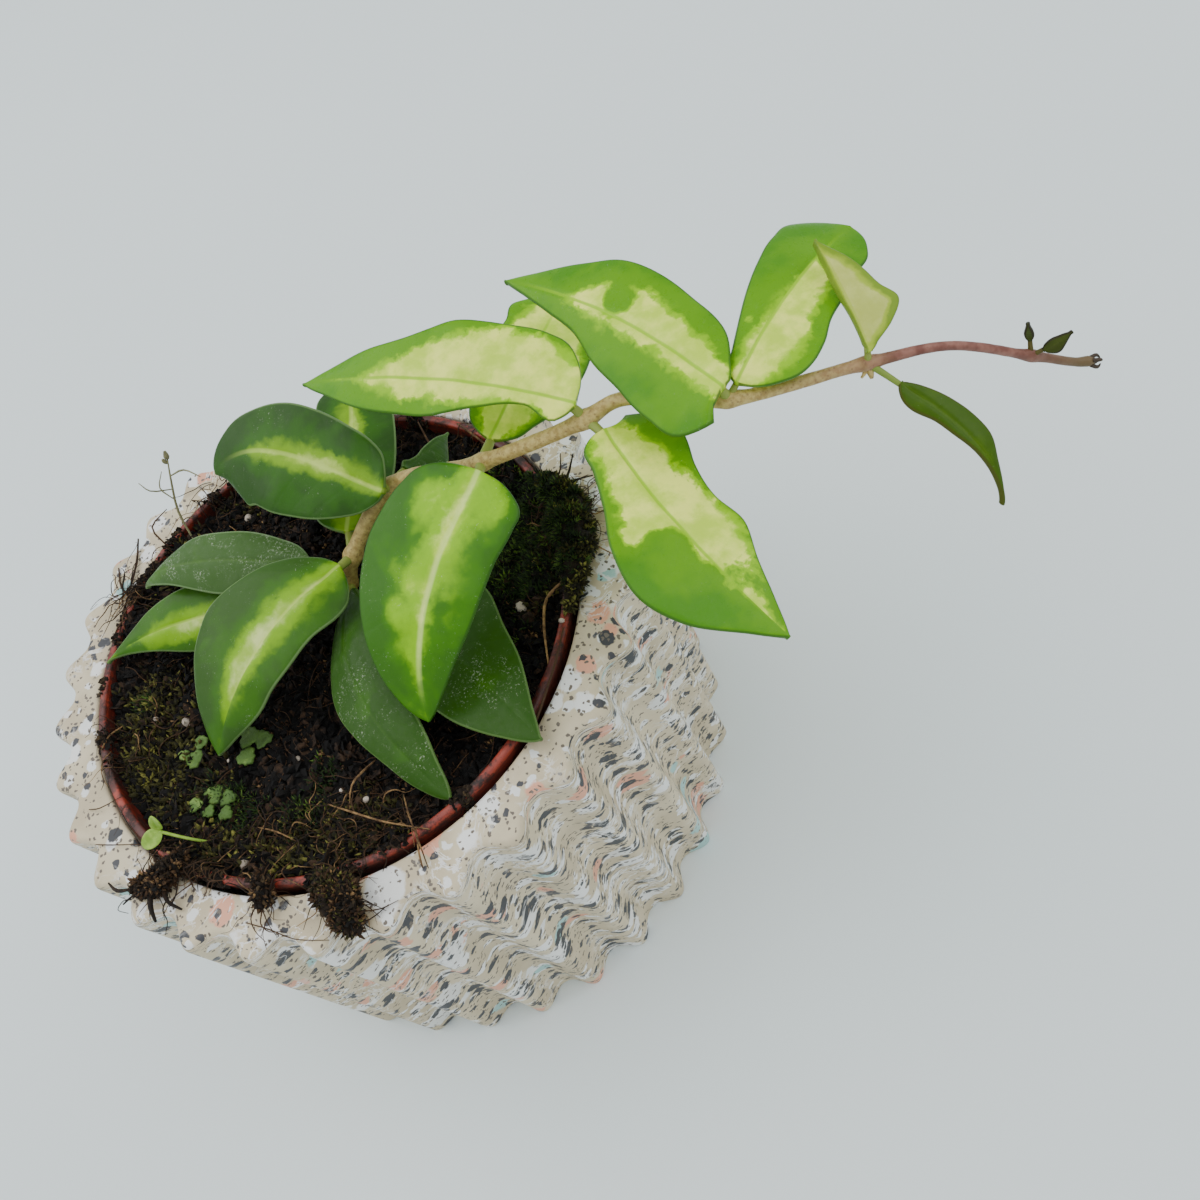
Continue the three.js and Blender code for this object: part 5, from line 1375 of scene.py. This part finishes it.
ROOTS = [  # radius, tone, and points in mm
    (0.38, 1.0, ((56.5, -26.4, 90), (51.1, -27, 89.5), (46.5, -27.7, 88.3), (43.2, -32.8, 88),
                 (41.3, -37.6, 88), (38.9, -45, 88.6))),
    (0.26, 1.0, ((57.1, -16.9, 92.5), (60.6, -23.5, 92.4), (63.8, -27.8, 89))),
    (0.3, 0.9, ((63.4, -19.6, 91), (60.5, -15.4, 94), (57.5, -14.4, 93), (54.7, -12.4, 90),
                (56.6, -12.7, 93), (59.7, -12.7, 94.5), (59.4, -13.6, 92.5), (57, -12, 90))),
    (0.24, 0.9, ((63.1, -8.3, 91), (61.3, -10.5, 93.5), (59, -11.5, 92.5))),
    (0.3, 0.5, ((29.4, -55.4, 90), (34.5, -50.7, 90.2), (41.5, -43.5, 90), (46.5, -37.5, 89.9))),
    (0.26, 0.9, ((-1.8, -37.7, 87.3), (-5.1, -39.2, 88.5), (-8, -40.9, 89), (-11.4, -44.4, 86.5))),
    (0.24, 0.95, ((-15.2, -39.8, 86.2), (-10.3, -46.1, 88.5), (-4.2, -53.3, 89.8), (3.3, -60.1, 89.7))),
    (0.2, 0.9, ((-31.1, -35.1, 86.3), (-26.8, -39.8, 88), (-23.6, -44.3, 87))),
    (0.13, 0.7, ((-38.9, -54.3, 88.2), (-34.6, -58.7, 88.4), (-30.5, -63.4, 88.2), (-23.9, -67.8, 88.2))),
    (0.14, 0.5, ((-16.4, -66.6, 89.5), (-11.8, -68.6, 89), (-8.3, -68.7, 88.2))),
    (0.16, 0.2, ((-17.3, -68.4, 89.5), (-14.7, -69.2, 89), (-10.4, -68.3, 88.2))),
    (0.15, 0.5, ((-66.3, -7, 88.3), (-62.9, -9.4, 89.5), (-57.4, -10.1, 89.7))),
    (0.24, 0.95, ((-59.1, 4.7, 89.8), (-56.9, 7.8, 89), (-53.6, 10.2, 86.6))),
    (0.16, 0.6, ((-66.6, -16.5, 88.3), (-62.5, -19.6, 89), (-55.7, -23.8, 88.6))),
    (0.18, 0.1, ((-53.6, -41.1, 88.6), (-50.6, -40.9, 90.4), (-48.4, -37.6, 91))),
    (0.24, 0.05, ((-63.4, -34.2, 88.5), (-61.1, -34.5, 89.5), (-57.1, -35.0, 90.6))),
    (0.6, 0.05, ((-55.5, -36, 90.6), (-57, -39.5, 89.6), (-57.2, -42.6, 88.7))),
    (0.5, 0.1, ((-52.5, -36.5, 90.6), (-53, -40.5, 89.8), (-51, -43.5, 88.7))),
    (0.45, 0.15, ((-60, -33, 89.8), (-63.5, -31, 89.4), (-65.5, -27.5, 88.6))),
    (0.2, 0.85, ((0.6, -48.4, 87), (1.2, -56.1, 91.5), (0.4, -63.5, 90.2), (-0.4, -66.5, 88.3))),
    (0.22, 0.9, ((-1.4, -65.8, 88.3), (-0.5, -63.2, 89.6), (1.1, -58.1, 89.9))),
    (0.28, 0.4, ((-43.5, 55.5, 88.4), (-44.1, 48.5, 88.6), (-40.4, 40.9, 89.8), (-35.5, 40.7, 86.6))),
    (0.3, 0.3, ((-36.1, 60.8, 88.5), (-38.4, 53.3, 88.6), (-43.7, 43.4, 88.7), (-47.6, 33.2, 89.8))),
    (0.22, 0.7, ((-50.4, 34.3, 88.4), (-45.8, 36.4, 90), (-40.0, 38.4, 86.6))),
    (0.25, 0.6, ((-28.6, 50.5, 89.8), (-30.4, 58.7, 91), (-25.6, 62.7, 90))),
    (0.35, 0.1, ((56.5, -4, 87.5), (64.5, -4.5, 91), (69.0, -1.5, 93.5))),
    (0.28, 0.15, ((57, -2, 87.5), (65.0, -6.5, 91.8), (70, -7.9, 91))),
    (0.24, 0.3, ((57.5, 0, 88), (64.0, -2.8, 92), (66.7, 0.7, 93.5))),
    (0.3, 0.8, ((50.4, 30.5, 90), (52, 24.6, 90.5), (54.3, 17.5, 88.5))),
    (0.26, 0.7, ((42.4, 38.2, 90.2), (42.1, 29.3, 89), (43.2, 22.3, 86.5))),
]
loose += [fibre_tube(points, radius, tone, 8) for radius, tone, points in ROOTS]
toned_piece("dried_roots", loose, fibre, "peat")

STALKS = [  # a dead weed at the back rim: radius, tone, and points in mm
    (0.34, 0.6, ((-22.8, 48.5, 86), (-21.6, 55.6, 93), (-18.2, 59.7, 99), (-15.1, 63.2, 103.6))),
    (0.26, 0.8, ((-17.5, 60.3, 100), (-13.2, 57.6, 101.5), (-10.2, 53.2, 100.5))),
    (0.2, 0.7, ((-20.5, 57.5, 95.8), (-22, 61.2, 98), (-19.5, 64.4, 99.5))),
    (0.2, 0.5, ((-19.1, 58.8, 97.4), (-23.6, 59.2, 100.4), (-24.8, 61.4, 102.6))),
    (0.75, 0.4, ((-15.6, 62.7, 103), (-15.2, 63.1, 103.8), (-14.8, 63.5, 104.8))),
    (0.6, 0.5, ((-16.2, 62.6, 102), (-16.6, 62.9, 102.8), (-16.6, 63.2, 103.4))),
]
toned_piece("dried_stalk", [fibre_tube(points, radius, tone, 8) for radius, tone, points in STALKS], straw,
            "peat")

# %% Liverwort and grit


def lobe_plate(centre, radius, seed, thickness=0.4, lobes=3, dome=0.15):
    """A flat scalloped plate, domed a little, with rounded edges."""
    chance = random.Random(seed)
    turn = chance.uniform(0, 6.28)
    around, rings = 30, 5
    spots = []
    for side in (1, -1):
        for k in range(rings + 1):
            u = k / rings
            half_thick = side * thickness / 2 * math.sqrt(1 - u**6)
            for i in range(around):
                a = 2 * math.pi * i / around
                edge = radius * (0.88 + 0.12 * math.cos(lobes * a + turn) + 0.07 * math.cos(8 * a + turn))
                x, y = centre[0] + edge * u * math.cos(a), centre[1] + edge * u * math.sin(a)
                wave = 0.6 * noise.noise(Vector((x, y, seed)) / 2.2)
                spots.append((x, y, centre[2] + dome * (1 - u * u) + wave + half_thick))
    faces = grid_faces(rings, around) + grid_faces(rings, around, start=(rings + 1) * around)
    return spots, faces, [chance.uniform(0.3, 0.9)] * len(spots)


# Place and radius of each lobe of liverwort, and of each crumb of grit, in mm.
LIVERWORT = [(-40.2, -9.8, 86.4, 2.6), (-37.6, -6.6, 86.2, 2.0), (-42.4, -7.2, 86.2, 1.6),
             (-26.2, -13.4, 86.6, 3.0), (-23.4, -16, 86.5, 2.4), (-28.6, -17.2, 86.2, 2.6),
             (-38.3, -21.2, 86.4, 2.6), (-35.4, -24.2, 86.6, 2.2), (-43.0, -21, 86.4, 2.0),
             (-36.8, -27.6, 86.8, 2.0), (-40.4, -24.6, 86.6, 1.8)]
GRIT = [(40.9, -24.5, 1.5), (-39.6, 1.1, 1.3), (-36.2, -41.4, 1.2), (-7.2, -44.2, 0.9), (-46.5, 7.1, 0.8),
        (-31.4, -49.6, 1.0), (-8, 48, 1.1), (20, -38, 0.8), (-18, -25, 0.6), (36, -3, 0.7), (-33, -15, 0.6),
        (47, -36, 0.7), (-50, -13, 0.6), (-12, -38, 0.6)]
lobes = [lobe_plate((x, y, max(z, ground(x, y) + 0.8)), r, k) for k, (x, y, z, r) in enumerate(LIVERWORT)]
toned_piece("liverwort", lobes, liver, "moss")
stones = [lobe_plate((x, y, ground(x, y) + 0.9), r, 40 + k, thickness=r * 0.9, lobes=2, dome=0.2)
          for k, (x, y, r) in enumerate(GRIT)]
toned_piece("pale_grit", stones, chalk, "peat")

# %% The seedling


def fresh_green():
    """A seedling's thin skin: bright yellow-green, moist and a little translucent."""
    material, tree, shader, where = new_material("seedling_skin", ior=1.42, roughness=0.4)
    cloud = add(tree, "TexNoise", clouds(where, 2.0, 3.0), "Fac")
    amount = add(tree, "MapRange", [cloud, 0.35, 0.65], 0, **SMOOTH)
    colour = add(tree, "Mix", {0: amount, 6: "#84ab3a", 7: "#a9cb55"}, 2, **COLOURS)
    tree.links.new(colour, shader.inputs["Base Color"])
    shader.inputs["Subsurface Weight"].default_value = 0.2
    shader.inputs["Subsurface Radius"].default_value = (0.001, 0.0014, 0.0004)
    rough = add(tree, "TexNoise", clouds(where, 0.6, 2.0), "Fac")
    relief = add(tree, "Bump", {"Height": rough, "Distance": 0.06 * MM, "Strength": 0.5}, 0)
    tree.links.new(relief, shader.inputs["Normal"])
    return material


SEEDLING_STALK = ((-41.2, -32.2, 85.5), (-44.3, -30.9, 91.5), (-47.2, -28.9, 96))
SEED_LEAF_FACES = Vector((0.1, -0.55, 0.83))
# Each seed leaf: its middle, the way it points, its length and its width, in mm.
SEED_LEAVES = (((-49.7, -28.9, 95.2), (-1, -0.1, -0.25), 5.6, 4.2),
               ((-46.2, -28.4, 98.4), (0.35, 0.1, 1), 5.2, 2.6))
seed_parts = [tube(SEEDLING_STALK, [0.34, 0.32, 0.36], 24, 12)]
for at, way, length, width in SEED_LEAVES:
    work = bmesh.new()
    bmesh.ops.create_uvsphere(work, u_segments=32, v_segments=16, radius=0.5)
    ahead = Vector(way).normalized()
    across = SEED_LEAF_FACES.cross(ahead).normalized()
    turn = Matrix((ahead, across, ahead.cross(across))).transposed()
    for v in work.verts:
        x, y, z = v.co
        taper = 1 - 0.25 * (x + 0.5)
        height = z * 0.8 + 1.6 * y * y - 0.1 * math.exp(-(y * 9) ** 2)  # dished, with a groove
        v.co = turn @ Vector((x * length, y * width * taper, height)) + Vector(at)
    work.verts.ensure_lookup_table()
    corners = [tuple(v.index for v in f.verts) for f in work.faces]
    seed_parts.append(([np.array(v.co) for v in work.verts], corners, [0] * len(work.verts)))
    work.free()
spots, faces, _ = gathered(seed_parts)
seedling = mesh_object("weed_seedling", spots, faces, fresh_green())
outward(seedling)
finish(seedling, "weed", "seedling")

for helper in (crumb, feather, stub):
    bpy.data.objects.remove(helper)
print("small growth ready")

# %% [markdown]
# ## Floor and light
# The plant stands on a plain pale sheet under soft daylight: a broad lamp overhead to the left, a
# weaker one on the right, and an even sky. Soft light shows the colours and leaves faint shadows.

# %% Floor, lamps and sky


def matt_sheet():
    """A painted board: matt, pale blue-grey and very slightly uneven."""
    material, tree, shader, where = new_material("painted_board", ior=1.45, roughness=0.85)
    patch = add(tree, "TexNoise", clouds(where, 260, 2.0), "Fac")
    colour = add(tree, "Mix", {0: patch, 6: "#e2ecec", 7: "#eaf2f1"}, 2, **COLOURS)
    tree.links.new(colour, shader.inputs["Base Color"])
    return material


REACH = 1500  # mm from the plant to the sheet's edge
corners = [(-REACH, -REACH, 0), (REACH, -REACH, 0), (REACH, REACH, 0), (-REACH, REACH, 0)]
floor = mesh_object("floor", corners, [(0, 1, 2, 3)], matt_sheet())

# Each lamp: its name, its place and width in metres, and its power in watts.
LAMPS = [("key", (-0.55, 0.45, 1.15), 1.5, 13.0), ("fill", (0.75, -0.35, 0.95), 1.0, 5.0)]
LIT_POINT = Vector((0.03, 0, 0.08))
for name, at, size, watts in LAMPS:
    lamp_data = bpy.data.lights.new(name, "AREA")
    lamp_data.size = size
    lamp_data.energy = watts
    lamp = linked(name, lamp_data)
    lamp.location = at
    lamp.rotation_euler = (LIT_POINT - Vector(at)).to_track_quat("-Z", "Y").to_euler()

world = bpy.data.worlds.new("sky")
bpy.context.scene.world = world
world.use_nodes = True
sky = world.node_tree.nodes["Background"]
sky.inputs[0].default_value = linear("#e6edf2")
sky.inputs[1].default_value = 0.9
print("lamps:", [name for name, *_ in LAMPS])
